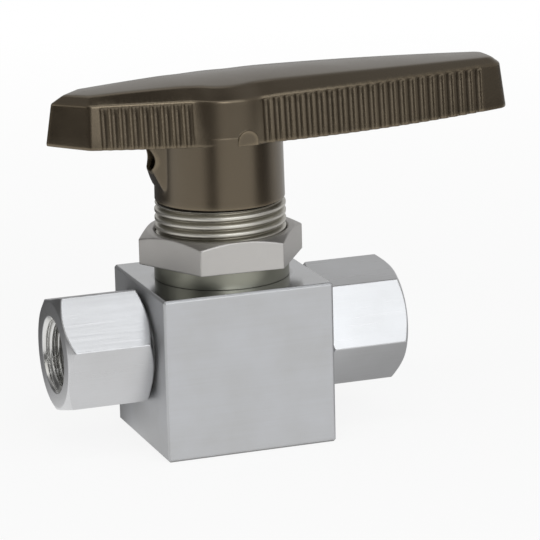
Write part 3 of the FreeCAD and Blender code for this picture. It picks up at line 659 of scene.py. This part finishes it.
# End connector: turned neck and hexagon outside, tapered pipe thread and passage inside
def makeConnector(side, size):
    away = 1 if side == "right" else -1
    turn, reach, nose, shank = size["turns"][side], size["reach"], size["nose"], size["shank"]
    edgeRound, fineRound, sealFloor = size["edgeRound"], size["fineRound"], size["sealFloor"]
    thread = {**size["thread"], "low": size["portFloor"], "high": reach, "crest": size["portCrest"],
              "root": size["portRoot"]}
    drillDepth = (size["portOut"] - size["passage"]) / math.sqrt(3)

    def boreOut(along, out):
        tapered = out - (reach - along) * size["taper"]
        mouth = size["mouthOut"] - (reach - along) * size["mouthSlope"]
        return max(tapered, mouth, size["portOut"])

    neck = softened([
        (size["portFloor"] - drillDepth, size["passage"], 0), (size["tailFloor"], size["passage"], 0),
        (size["tailFloor"], size["tailBore"], fineRound), (nose, size["tailBore"], size["noseRound"]),
        (nose, shank - size["noseChamfer"], fineRound), (nose + size["noseChamfer"], shank, fineRound),
        (size["sealFrom"], shank, fineRound), (size["sealFrom"], sealFloor, fineRound),
        (size["sealTo"], sealFloor, fineRound), (size["sealTo"], shank, fineRound),
        (size["hexFrom"], shank, 0)])
    cornerOut = size["acrossFlats"] / math.sqrt(3)
    loops = []
    for angle in sorted(away * angle % fullTurn for angle in hexagonAngles(size, turn)):
        around = away * angle
        out = hexagonOut(around, size, turn)
        share = (out - size["innerOut"]) / (cornerOut - size["innerOut"])
        innerEnd = size["hexFrom"] + size["innerTurn"] * share
        outerEnd = reach - (out - size["outerOut"]) / math.sqrt(3)
        hexagon = softened([
            (size["hexFrom"], size["innerOut"], edgeRound / 2), (innerEnd, out, edgeRound),
            (outerEnd, out, edgeRound), (reach, size["outerOut"], edgeRound),
            (reach, size["mouthOut"] + size["mouthLap"], 0)])
        rows = threadRows(thread, angle, boreOut)
        rows.reverse()
        loops.append([(away * along, far * math.cos(around), flowHeight + far * math.sin(around))
                      for along, far in neck + hexagon + rows])
    first = len(neck) + len(hexagon)
    mesh = skinFromLoops(side + "ConnectorSkin", loops, first, first + len(rows) - 1, -thread["rowsPerTurn"])
    return addPiece(side + "HexConnector", mesh, "drawnHexBar", "body",
                    side + "_end_connector", 50.0)


for side in ("left", "right"):
    makeConnector(side, connector)
print("end connectors made")


handle = {
    "foot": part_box("handle")[0].z / millimetre, "longReach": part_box("handle")[1].x / millimetre,
    "shortReach": -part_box("handle")[0].x / millimetre, "hubRise": 12.3, "hubFoot": 12.6, "hubTop": 12.45,
    "hubHidden": 1.6, "hubHollow": 4.0, "footRound": 0.3, "wallHeight": 8.9, "widest": 3.0,
    "middleHalf": 12.1, "longEndHalf": 5.2, "shortEndHalf": 5.4, "taperRound": 0.1,
    "draft": math.tan(math.radians(6.5)), "undersideRise": 0.9, "rimRise": 0.75,
    "bevelHeight": 2.45, "bevelHeightLoss": 1.3, "bevelInset": 3.2, "bevelInsetLoss": 2.0,
    "bevelSlope": math.tan(math.radians(50)), "crown": 58.0,
    "bulgeRim": 11.95, "bulgeDrop": 0.2, "bulgeReach": 10.5, "bulgeFade": 8.0, "blend": 0.3,
    "cornerRound": 2.4, "cornerSteps": 7, "islandRound": 1.8, "undersideIn": 0.9, "crownIn": 1.4,
    "lowRound": 0.55, "rimRound": 0.3, "islandEdge": 0.6, "tipRound": 0.6, "tipSteps": 4,
    "tipShares": (0.3, 0.5, 0.7, 0.85), "endShares": (0.33, 0.67), "wallShares": (0.3, 0.55, 0.75),
    "acrossSteps": 8, "fluteRadius": 0.85, "fluteDepth": 0.42, "fluteSoft": 0.08, "fluteLand": 0.3,
    "fluteFade": 0.55, "fadeShares": (1.0, 0.65, 0.38, 0.16, 0.04),
    "flutes": {"long": (5.95, 2.18, 22), "short": (-9.0, -1.95, 9)},  # first, step and count
    "fluteColumns": (-0.80, -0.70, -0.58, -0.42, -0.22, 0.0, 0.22, 0.42, 0.58, 0.70, 0.80),
    "flutedTo": 53.0, "endStations": (-25.45, 53.2),
    "hubStations": [-8.0, -7.0, -6.0] + [-5.2 + 0.8 * step for step in range(13)],
}
handle["barLow"] = handle["foot"] + handle["hubRise"]
handle["rim"] = handle["barLow"] + handle["wallHeight"]
handle["grooves"] = [start + step * count for start, step, many in handle["flutes"].values()
                     for count in range(many)]


# How far out along its arm a station lies, 0 at the widest place and 1 at the end
def armShare(x):
    if x >= handle["widest"]:
        return (x - handle["widest"]) / (handle["longReach"] - handle["widest"])
    return (handle["widest"] - x) / (handle["shortReach"] + handle["widest"])


def barHalf(x):
    share = armShare(x)
    if x >= handle["widest"]:
        return handle["middleHalf"] - (handle["middleHalf"] - handle["longEndHalf"]) * share ** 2
    rounding = handle["taperRound"]
    part = (math.hypot(share, rounding) - rounding) / (math.hypot(1, rounding) - rounding)
    return handle["middleHalf"] - (handle["middleHalf"] - handle["shortEndHalf"]) * part


def lowLevel(x):
    return handle["barLow"] + handle["undersideRise"] * armShare(x) ** 2


def rimLevel(x):
    share = armShare(x) if x > handle["widest"] else 0.0
    rise = handle["rimRise"] * share * (2 - share)
    drop = handle["bulgeDrop"] * smoothStep((handle["bulgeReach"] - abs(x)) / handle["bulgeFade"])
    return handle["rim"] + rise - drop


# Half the width of a circle at a distance from its centre
def circleHalf(x, radius):
    return math.sqrt(max(radius ** 2 - x ** 2, 0.0))


def lowHalf(x):
    return smoothGreater(barHalf(x), circleHalf(x, handle["hubTop"]), handle["blend"])


def draftedHalf(x):
    return barHalf(x) - (rimLevel(x) - lowLevel(x)) * handle["draft"]


def rimHalf(x):
    return smoothGreater(draftedHalf(x), circleHalf(x, handle["bulgeRim"]), handle["blend"])


def flatTopHalf(x):
    return draftedHalf(x) - (handle["bevelInset"] - handle["bevelInsetLoss"] * armShare(x) ** 2)


def islandHalf(x):
    bulge = circleHalf(x, handle["bulgeRim"] - handle["bevelInset"])
    return smoothGreater(flatTopHalf(x), bulge, handle["blend"])


# The crowned top of the bar
def crownLevel(x, y):
    share = armShare(x)
    fall = share if x > handle["widest"] else share ** 2
    top = rimLevel(x) + handle["bevelHeight"] - handle["bevelHeightLoss"] * fall
    return top + (flatTopHalf(x) ** 2 - y ** 2) / (2 * handle["crown"])


# How deep the flutes bite into the wall at a station
def fluteBite(x):
    near = min(abs(x - groove) for groove in handle["grooves"])
    bite = circleHalf(near, handle["fluteRadius"]) - handle["fluteRadius"] + handle["fluteDepth"]
    return smoothGreater(bite, 0.0, handle["fluteSoft"])


# One outline of the bar in plan, from the pointed tip along one side to the blunt end
def barOutline(half, tip, end, rounding, stations, nudge=0.5):
    corner = tip
    for step in range(12):  # the tip's flanks lie at 45 degrees
        corner = tip + half(corner)
    tipPoint, cornerPoint = Vector((tip, 0.0)), Vector((corner, half(corner)))
    mirrored = Vector((cornerPoint.x, -cornerPoint.y))
    tipRound, tipSteps = handle["tipRound"], handle["tipSteps"]
    points = bend(mirrored, tipPoint, cornerPoint, tipRound, tipSteps)[tipSteps // 2:]
    points += [tipPoint.lerp(cornerPoint, share) for share in handle["tipShares"]]
    first, last = stations[0], stations[-1]
    points += bend(tipPoint, cornerPoint, Vector((first, half(first))), tipRound, tipSteps)
    points += [Vector((x, half(x))) for x in stations]
    centre = end - rounding
    lean = math.atan2(half(centre - nudge) - half(centre + nudge), 2 * nudge)
    middle = Vector((centre, half(centre) - rounding / math.cos(lean)))
    steps = handle["cornerSteps"]
    turns = [(math.pi / 2 - lean) * (1 - step / steps) for step in range(steps + 1)]
    arc = [middle + Vector((math.cos(turn), math.sin(turn))) * rounding for turn in turns]
    points += [Vector((last, half(last))).lerp(arc[0], share) for share in handle["endShares"]]
    return points + arc


# Outlines of the underside, the wall's foot, the rim, the bevel's top and the crown
def barOutlines(size):
    stations = [*size["endStations"], *size["hubStations"]]
    stations += [groove + shift for groove in size["grooves"] for shift in size["fluteColumns"]]
    stations.sort()
    tipLow, endLow = -size["shortReach"], size["longReach"]
    tipRim = tipLow + (size["rim"] - lowLevel(tipLow)) * size["draft"] * math.sqrt(2)
    endRim = endLow - (rimLevel(endLow) - lowLevel(endLow)) * size["draft"]
    tipTop, endTop = tipRim, endRim
    for step in range(8):  # the bevel's top depends on the crown above it
        tipTop = tipRim + (crownLevel(tipTop, 0.0) - size["rim"]) * size["bevelSlope"] * math.sqrt(2)
        endTop = endRim - (crownLevel(endTop, 0.0) - rimLevel(endLow)) * size["bevelSlope"]

    def outline(half, tip, end, rounding, inward=0.0):
        return barOutline(lambda x: half(x) - inward, tip + inward * math.sqrt(2), end - inward,
                          rounding - inward, stations)

    return [outline(lowHalf, tipLow, endLow, size["cornerRound"], size["undersideIn"]),
            outline(lowHalf, tipLow, endLow, size["cornerRound"]),
            outline(rimHalf, tipRim, endRim, size["cornerRound"]),
            outline(islandHalf, tipTop, endTop, size["islandRound"]),
            outline(islandHalf, tipTop, endTop, size["islandRound"], size["crownIn"])]


# One column of points up the side of the bar, from the underside to the top
def barColumn(size, points, bite, side):
    levels = (lowLevel, lowLevel, rimLevel)
    spots = [Vector((point.x, point.y, level(point.x))) for point, level in zip(points, levels)]
    spots += [Vector((point.x, point.y, crownLevel(point.x, point.y))) for point in points[len(levels):]]
    below, low, rim, island, inner = spots
    inward = Vector((0.0, -bite * side, 0.0))
    rows = [below] + bend(below, low + inward, rim + inward, size["lowRound"])
    rows += [low.lerp(rim, share) + inward for share in size["wallShares"]]
    for left in size["fadeShares"]:
        share = 1 - (size["fluteLand"] + size["fluteFade"] * left) / (rim - low).length
        rows.append(low.lerp(rim, share) + inward * math.sqrt(1 - (1 - left) ** 2))
    rows += bend(low, rim, island, size["rimRound"])
    return rows + bend(rim, island, inner, size["islandEdge"]) + [inner]


# Fluted bar: walls, bevels and crowned top in one closed skin
def makeBar(size):
    outlines = barOutlines(size)
    sides = []
    for side in (-1, 1):
        columns = []
        for points in zip(*outlines):
            x = points[2].x
            bite = fluteBite(x) if size["endStations"][0] < x < size["flutedTo"] else 0.0
            turned = [Vector((point.x, point.y * side)) for point in points]
            columns.append(barColumn(size, turned, bite, side))
        sides.append(columns)
    front, back = sides
    across = size["acrossSteps"]
    ends = []
    for step in range(1, across):
        corners = [outline[-1] for outline in outlines]
        points = [Vector((corner.x, corner.y * (2 * step / across - 1))) for corner in corners]
        ends.append(barColumn(size, points, 0.0, 1))
    skin = bmesh.new()
    loops = front + ends + back[:0:-1]
    verts = [[skin.verts.new(point * millimetre) for point in loop] for loop in loops]
    count, rows = len(front), len(front[0])
    for index, loop in enumerate(verts):
        beside = verts[(index + 1) % len(verts)]
        for row in range(rows - 1):
            skin.faces.new((loop[row], beside[row], beside[row + 1], loop[row + 1]))

    # Strips that close the top and the underside from side to side
    def ladder(row, level):
        lines = [[verts[0][row]]]
        for index in range(1, count):
            left, right = verts[index][row], verts[-index][row]
            if index == count - 1:
                inner = [verts[count - 1 + step][row] for step in range(1, across)]
            else:
                inner = []
                for step in range(1, across):
                    place = left.co.lerp(right.co, step / across) / millimetre
                    place.z = level(place.x, place.y)
                    inner.append(skin.verts.new(place * millimetre))
            lines.append([left] + inner + [right])
        for step in range(across):
            skin.faces.new((lines[0][0], lines[1][step], lines[1][step + 1]))
        for line, after in zip(lines[1:], lines[2:]):
            for step in range(across):
                skin.faces.new((line[step], after[step], after[step + 1], line[step + 1]))

    ladder(rows - 1, crownLevel)
    ladder(0, lambda x, y: lowLevel(x))
    return closedMesh("barSkin", skin)


hub = {
    "levels": [0.0, 0.1, 0.3, 1.5, 2.9, 3.4, 3.7, 4.2, 4.8, 5.4, 6.0, 6.6, 7.1, 7.5, 7.9, 8.5, 9.5, 10.7,
               handle["hubRise"] + handle["hubHidden"]],
    "angleStep": 3.75, "bossStep": 1.2, "bossSpan": 24,
    "bossReach": 14.45, "bossRadius": 3.5, "bossFrom": 3.7, "bossSlopeRise": 3.8, "bossSlopeFoot": 12.5,
    "bossStart": 3.0, "bossFade": 5.18, "bossTrim": 0.12, "bossTurn": 1.0, "blend": 1.0,
    "pocketAcross": 11.0, "pocketHeight": 14.2, "holeLevel": 8.8, "holeRadius": 2.35, "holeDepth": 20.0,
    "holeSides": 40, "grooveMiddle": 9.8, "grooveHalf": 1.5, "grooveDepth": 2.3, "grooveEnd": 1.35,
    "grooveFrom": math.radians(45), "grooveTo": math.radians(135), "grooveSteps": 24, "grooveEndSteps": 8,
    "padAt": 1.8, "padReach": 12.65, "padRadius": 2.0, "padRise": 0.85, "padDepth": 2.0, "padFoot": 0.02,
    "padSteps": 16, "overcut": 1.0,
}


# Distance from the stem axis to the hub's side, with the screw's boss blended in
def hubOut(angle, level, size):
    plain = handle["hubFoot"] + (handle["hubTop"] - handle["hubFoot"]) * level / handle["hubRise"]
    turn = abs((angle + fullTurn) % fullTurn - math.pi)
    centre = size["bossReach"] - size["bossRadius"]
    inside = size["bossRadius"] ** 2 - (centre * math.sin(turn)) ** 2
    if turn > size["bossTurn"] or inside <= 0 or level < size["bossStart"]:
        return plain
    rise = (level - size["bossFrom"]) / size["bossSlopeRise"]
    reach = size["bossSlopeFoot"] + rise * (size["bossReach"] - size["bossSlopeFoot"])
    boss = min(centre * math.cos(turn) + math.sqrt(inside), reach / math.cos(turn))
    blend = size["blend"] * smoothStep(level / size["bossFade"])
    return max(smoothGreater(plain, boss, blend) - blend * size["bossTrim"], plain)


def makeHub(size):
    coarse, fine, span = size["angleStep"], size["bossStep"], size["bossSpan"]
    degrees = [step * coarse for step in range(round(360 / coarse)) if abs(step * coarse - 180) > span]
    fineCount = round(span / fine)
    degrees += [180 + step * fine for step in range(-fineCount, fineCount + 1)]
    footRound, hollow = handle["footRound"], handle["hubHollow"]
    loops = []
    for angle in sorted(math.radians(degree) for degree in degrees):
        profile = [(0.0, hollow)]
        for level in size["levels"]:
            edge = footRound * (1 - math.sqrt(1 - (1 - min(level / footRound, 1)) ** 2))
            profile.append((level, hubOut(angle, level, size) - edge))
        profile.append((size["levels"][-1], hollow))
        loops.append(turnedOut(angle, profile, handle["foot"]))
    return skinFromLoops("hubSkin", loops)


# Prism over an outline in plan
def prism(name, outline, low, high):
    skin = bmesh.new()
    base = [skin.verts.new(Vector((x, y, low)) * millimetre) for x, y in outline]
    cap = [skin.verts.new(Vector((x, y, high)) * millimetre) for x, y in outline]
    skin.faces.new(base[::-1])
    skin.faces.new(cap)
    for index in range(len(base)):
        after = (index + 1) % len(base)
        skin.faces.new((base[index], base[after], cap[after], cap[index]))
    return closedMesh(name, skin)


def moveVertices(mesh, place):
    for vertex in mesh.vertices:
        vertex.co = place(*vertex.co)


def ringPoints(radius, count):
    return [(radius * math.cos(turn), radius * math.sin(turn)) for turn in evenAngles(count)]


def arcPoints(middle, radius, start, end, steps):
    turns = [start + (end - start) * step / steps for step in range(steps + 1)]
    return [(middle[0] + radius * math.cos(turn), middle[1] + radius * math.sin(turn)) for turn in turns]


# Joins solids to a mesh or cuts them out of it
def carved(name, mesh, changes):
    whole = putIn(name, mesh)
    scratch = [whole]
    for operation, tool in changes:
        scratch.append(putIn(name + "Tool", tool))
        change = whole.modifiers.new(operation, "BOOLEAN")
        change.operation = operation
        change.object = scratch[-1]
        change.solver = "EXACT"
    result = bpy.data.meshes.new_from_object(whole.evaluated_get(bpy.context.evaluated_depsgraph_get()))
    result.name = name
    for item in scratch:
        bpy.data.objects.remove(item)
    return result


cores = {
    "low": -1.2, "roof": 8.15, "rib": 1.6, "wall": 2.2, "steps": 6, "narrowest": 0.5,
    "hubEdge": 13.0, "hubGap": 14.4, "hubClear": 0.05, "hubSteps": 8, "noseGap": 8.6,
    "firstTo": 20.2, "longArm": [(21.8, 27.6), (29.2, 35.0), (36.6, 42.4), (44.0, 49.8), (51.4, 55.2)],
}


# Points along one half of a core, from near the hub to the arm's end. Beside the hub it ends in an arc.
def coreHalf(size, start, end, besideHub):
    near = size["rib"] / 2
    xs = [start + (end - start) * step / size["steps"] for step in range(size["steps"] + 1)]
    points = [(x, max(barHalf(x) - size["wall"], near + size["narrowest"])) for x in xs]
    if not besideHub:
        return [(start, near)] + points + [(end, near)]
    turn = 1 if start > 0 else -1
    gap = size["hubGap"]
    points = [point for point in points[::turn] if math.hypot(*point) > gap + size["hubClear"]]
    rise = [points[0][1] * step / size["hubSteps"] for step in range(size["hubSteps"] + 1)]
    rise = [max(value, near) for value in rise if value < gap][1:-1]
    curve = [(turn * math.sqrt(gap ** 2 - value ** 2), value) for value in [near] + rise]
    return (curve + points + [(points[-1][0], near)])[::turn]


# Hollows under both arms, parted by ribs
def coreOutlines(size):
    first = (size["hubEdge"], size["firstTo"])
    last = (size["noseGap"] - handle["shortReach"], -size["hubEdge"])
    outlines = []
    for start, end in [first] + size["longArm"] + [last]:
        half = coreHalf(size, start, end, (start, end) in (first, last))
        outlines += [[(x, y * side) for x, y in half] for side in (-1, 1)]
    return outlines


# The handle: the bar with its hub and thumb pads, less the cores, drive pocket, stop groove and screw hole
def makeHandle(size):
    foot, low, over = handle["foot"], handle["barLow"], size["overcut"]
    changes = [("UNION", makeHub(size))]
    for side in (-1, 1):
        radius, padFoot = size["padRadius"], size["padFoot"]
        arch = arcPoints((0.0, size["padRise"]), radius, 0.0, math.pi, size["padSteps"])
        pad = prism("pad", [(-radius, padFoot)] + arch[::-1] + [(radius, padFoot)], 0.0, size["padDepth"])
        moveVertices(pad, lambda x, y, z: (
            x + size["padAt"] * millimetre, side * (size["padReach"] * millimetre - z), y + low * millimetre))
        if side < 0:
            pad.flip_normals()
        changes.append(("UNION", pad))
    for outline in coreOutlines(cores):
        changes.append(("DIFFERENCE", prism("core", outline, low + cores["low"], low + cores["roof"])))
    pocket = ringPoints(size["pocketAcross"] / math.sqrt(3), 6)
    changes.append(("DIFFERENCE", prism("pocket", pocket, foot - over, foot + size["pocketHeight"])))
    middle, half, start, end = size["grooveMiddle"], size["grooveHalf"], size["grooveFrom"], size["grooveTo"]
    tips = arcPoints((0, 0), middle, start, end, 1)
    groove = arcPoints((0, 0), middle + half, start, end, size["grooveSteps"])
    groove += arcPoints(tips[1], size["grooveEnd"], end, end + math.pi, size["grooveEndSteps"])
    groove += arcPoints((0, 0), middle - half, end, start, size["grooveSteps"])
    groove += arcPoints(tips[0], size["grooveEnd"], start + math.pi, start + fullTurn, size["grooveEndSteps"])
    changes.append(("DIFFERENCE", prism("groove", groove, foot - over, foot + size["grooveDepth"])))
    hole = prism("hole", ringPoints(size["holeRadius"], size["holeSides"]), 0.0, size["holeDepth"])
    moveVertices(hole, lambda x, y, z: (-z, -x, y + (foot + size["holeLevel"]) * millimetre))
    changes.append(("DIFFERENCE", hole))
    mesh = carved("handleSkin", makeBar(handle), changes)
    return addPiece("barHandle", mesh, "blackNylon", "handle", "handle")


makeHandle(hub)
print("handle made")


# Camera, floor and light

cameraView = {"place": (-0.18958, -0.56269, 0.18416), "look": (0.3237, 0.9131, -0.2480),
              "roll": -1.437, "lens": 210.63, "sensor": 36.0, "nearest": 0.05}


def makeCamera(view):
    camera = putIn("studioCamera", bpy.data.cameras.new("studioCamera"))
    camera.data.lens = view["lens"]
    camera.data.sensor_width = view["sensor"]
    camera.data.clip_start = view["nearest"]
    camera.location = view["place"]
    camera.rotation_mode = "QUATERNION"
    upright = Vector(view["look"]).to_track_quat("-Z", "Y")
    camera.rotation_quaternion = upright @ Quaternion((0, 0, 1), math.radians(view["roll"]))
    bpy.context.scene.camera = camera


def emptyTree(owner):
    owner.use_nodes = True
    owner.node_tree.nodes.clear()
    return owner.node_tree


# Brightness that is raised or lowered towards some directions. Each glow is its direction, the cosines
# at which it starts and is full, and its strength.
def glowSum(tree, direction, base, glows):
    total = base
    for towards, start, full, strength in glows:
        facing = vectorSums(tree, "DOT_PRODUCT", direction, Vector(towards).normalized())
        total = sums(tree, "MULTIPLY_ADD", ramp(tree, facing, start, full, smooth=True), strength, total)
    return total


floorLook = {
    "radius": 3.0, "sides": 96, "colour": (0.86, 0.86, 0.85), "whiteness": 0.86, "fadeFrom": 0.12,
    "fadeTo": 0.45, "mirrorShare": 0.98, "nearTo": 0.10, "farFrom": 0.19, "edgeTo": 0.35, "edgeFrom": 0.90,
    "nearLevel": 0.45, "nearGlows": (
        ((-0.3, -0.95, 0.0), -0.2, 0.6, 0.45),
        ((-0.965, 0.264, 0.0), 0.90, 0.995, 0.45),
        ((-0.334, 0.943, 0.0), 0.85, 0.99, -0.38),
    ),
    "farLevel": 0.10, "farGlows": (
        ((-0.974, -0.225, 0.0), 0.68, 0.97, 1.2),
        ((0.21, -0.978, 0.0), 0.74, 0.96, 1.25),
        ((0.88, 0.47, 0.0), 0.65, 0.95, 0.65),
    ),
}


# White to the camera, with a soft shadow near the object, and glowing by direction in what the object mirrors
def makeFloor(look):
    skin = bmesh.new()
    bmesh.ops.create_circle(skin, cap_ends=True, segments=look["sides"], radius=look["radius"])
    floor = putIn("studioFloor", meshFrom("studioFloor", skin))
    material = bpy.data.materials.new("paleFloor")
    tree = emptyTree(material)
    place = objectPlace(tree)
    distance = vectorSums(tree, "LENGTH", place)
    outward = vectorSums(tree, "NORMALIZE", place)
    rays = addNode(tree, "ShaderNodeLightPath").outputs
    shown = ramp(tree, distance, look["fadeFrom"], look["fadeTo"], look["whiteness"], 1.0)
    shown = sums(tree, "MULTIPLY", shown, rays["Is Camera Ray"])
    shown = sums(tree, "MULTIPLY_ADD", rays["Is Glossy Ray"], look["mirrorShare"], shown)
    near = ramp(tree, distance, look["nearTo"], look["farFrom"], 1.0, 0.0, smooth=True)
    edge = ramp(tree, distance, look["edgeTo"], look["edgeFrom"], 1.0, 0.0, smooth=True)
    nearGlow = glowSum(tree, outward, look["nearLevel"], look["nearGlows"])
    farGlow = sums(tree, "MULTIPLY", glowSum(tree, outward, 0.0, look["farGlows"]), edge)
    farGlow = sums(tree, "ADD", farGlow, look["farLevel"])
    glow = sums(tree, "SUBTRACT", nearGlow, farGlow)
    glow = sums(tree, "MULTIPLY_ADD", glow, near, farGlow, clamped=True)
    glow = sums(tree, "MAXIMUM", glow, rays["Is Camera Ray"])
    matt = addNode(tree, "ShaderNodeBsdfDiffuse", {"Color": look["colour"]}).outputs[0]
    glowing = addNode(tree, "ShaderNodeEmission", {"Color": mixColours(tree, glow, black, white)}).outputs[0]
    mixed = addNode(tree, "ShaderNodeMixShader", {0: shown, 1: matt, 2: glowing}).outputs[0]
    addNode(tree, "ShaderNodeOutputMaterial", {0: mixed})
    floor.data.materials.append(material)


# Each lamp stands at a bearing round the stem axis, counted from the long arm, and faces the object
lamps = {
    "frontPanel": {"bearing": -70.0, "distance": 0.80, "height": 0.42, "size": (0.42, 0.75), "power": 1.35,
                   "colour": (0.95, 0.975, 1.0)},
    "leftPanel": {"bearing": -95.0, "distance": 0.85, "height": 0.40, "size": (0.30, 0.60), "power": 1.7,
                  "colour": (0.98, 0.99, 1.0)},
    "endPanel": {"bearing": -176.0, "distance": 0.80, "height": 0.40, "size": (0.50, 0.40), "power": 0.55,
                 "colour": (1.0, 0.995, 0.96)},
    "topPanel": {"bearing": -90.0, "distance": 0.27, "height": 0.80, "size": (0.72, 0.22), "power": 0.80,
                 "colour": (0.96, 0.98, 1.0)},
}
lampAim = (0.0, 0.0, 0.035)


def makeLamp(name, look):
    lamp = putIn(name, bpy.data.lights.new(name, "AREA"))
    lamp.data.shape = "RECTANGLE"
    lamp.data.size, lamp.data.size_y = look["size"]
    lamp.data.energy = look["power"]
    lamp.data.color = look["colour"]
    bearing = math.radians(look["bearing"])
    out = look["distance"]
    lamp.location = (out * math.cos(bearing), out * math.sin(bearing), look["height"])
    lamp.rotation_mode = "QUATERNION"
    lamp.rotation_quaternion = (Vector(lampAim) - lamp.location).to_track_quat("-Z", "Y")
    lamp.visible_camera = False


# Broad glows of the studio round the object, seen only in reflections
worldLook = {
    "ambient": 0.56, "gloss": 0.34,
    "glows": (
        ((0.33, 0.92, 0.12), 0.70, 0.97, 0.30),
        ((0.04, 0.49, 0.87), 0.93, 0.995, 0.55),
        ((0.0, -0.05, 1.0), 0.93, 0.995, -0.26),
        ((-0.57, 0.81, 0.15), 0.78, 0.97, -0.26),
        ((1.0, 0.0, 0.10), 0.30, 0.95, 0.20),
        ((-0.90, -0.44, 0.0), 0.60, 0.95, -0.32),
    ),
}


# White to the camera, and brighter or dimmer by direction in what the object mirrors
def makeWorld(look):
    world = bpy.data.worlds.new("studioWorld")
    bpy.context.scene.world = world
    tree = emptyTree(world)
    rays = addNode(tree, "ShaderNodeLightPath").outputs
    mirrored = sums(tree, "MAXIMUM", rays["Is Glossy Ray"], rays["Is Transmission Ray"])
    direction = addNode(tree, "ShaderNodeTexCoord").outputs["Generated"]
    shown = glowSum(tree, direction, look["gloss"], look["glows"])
    shown = sums(tree, "ADD", shown, 0.0, clamped=True)
    level = ramp(tree, mirrored, 0.0, 1.0, look["ambient"], shown)
    level = sums(tree, "MAXIMUM", level, rays["Is Camera Ray"])
    sky = addNode(tree, "ShaderNodeBackground", {"Color": mixColours(tree, level, black, white)}).outputs[0]
    addNode(tree, "ShaderNodeOutputWorld", {0: sky})


makeCamera(cameraView)
makeFloor(floorLook)
for lampName, lampLook in lamps.items():
    makeLamp(lampName, lampLook)
makeWorld(worldLook)
bpy.context.scene.view_settings.view_transform = "Standard"
print("camera, floor and lamps set")
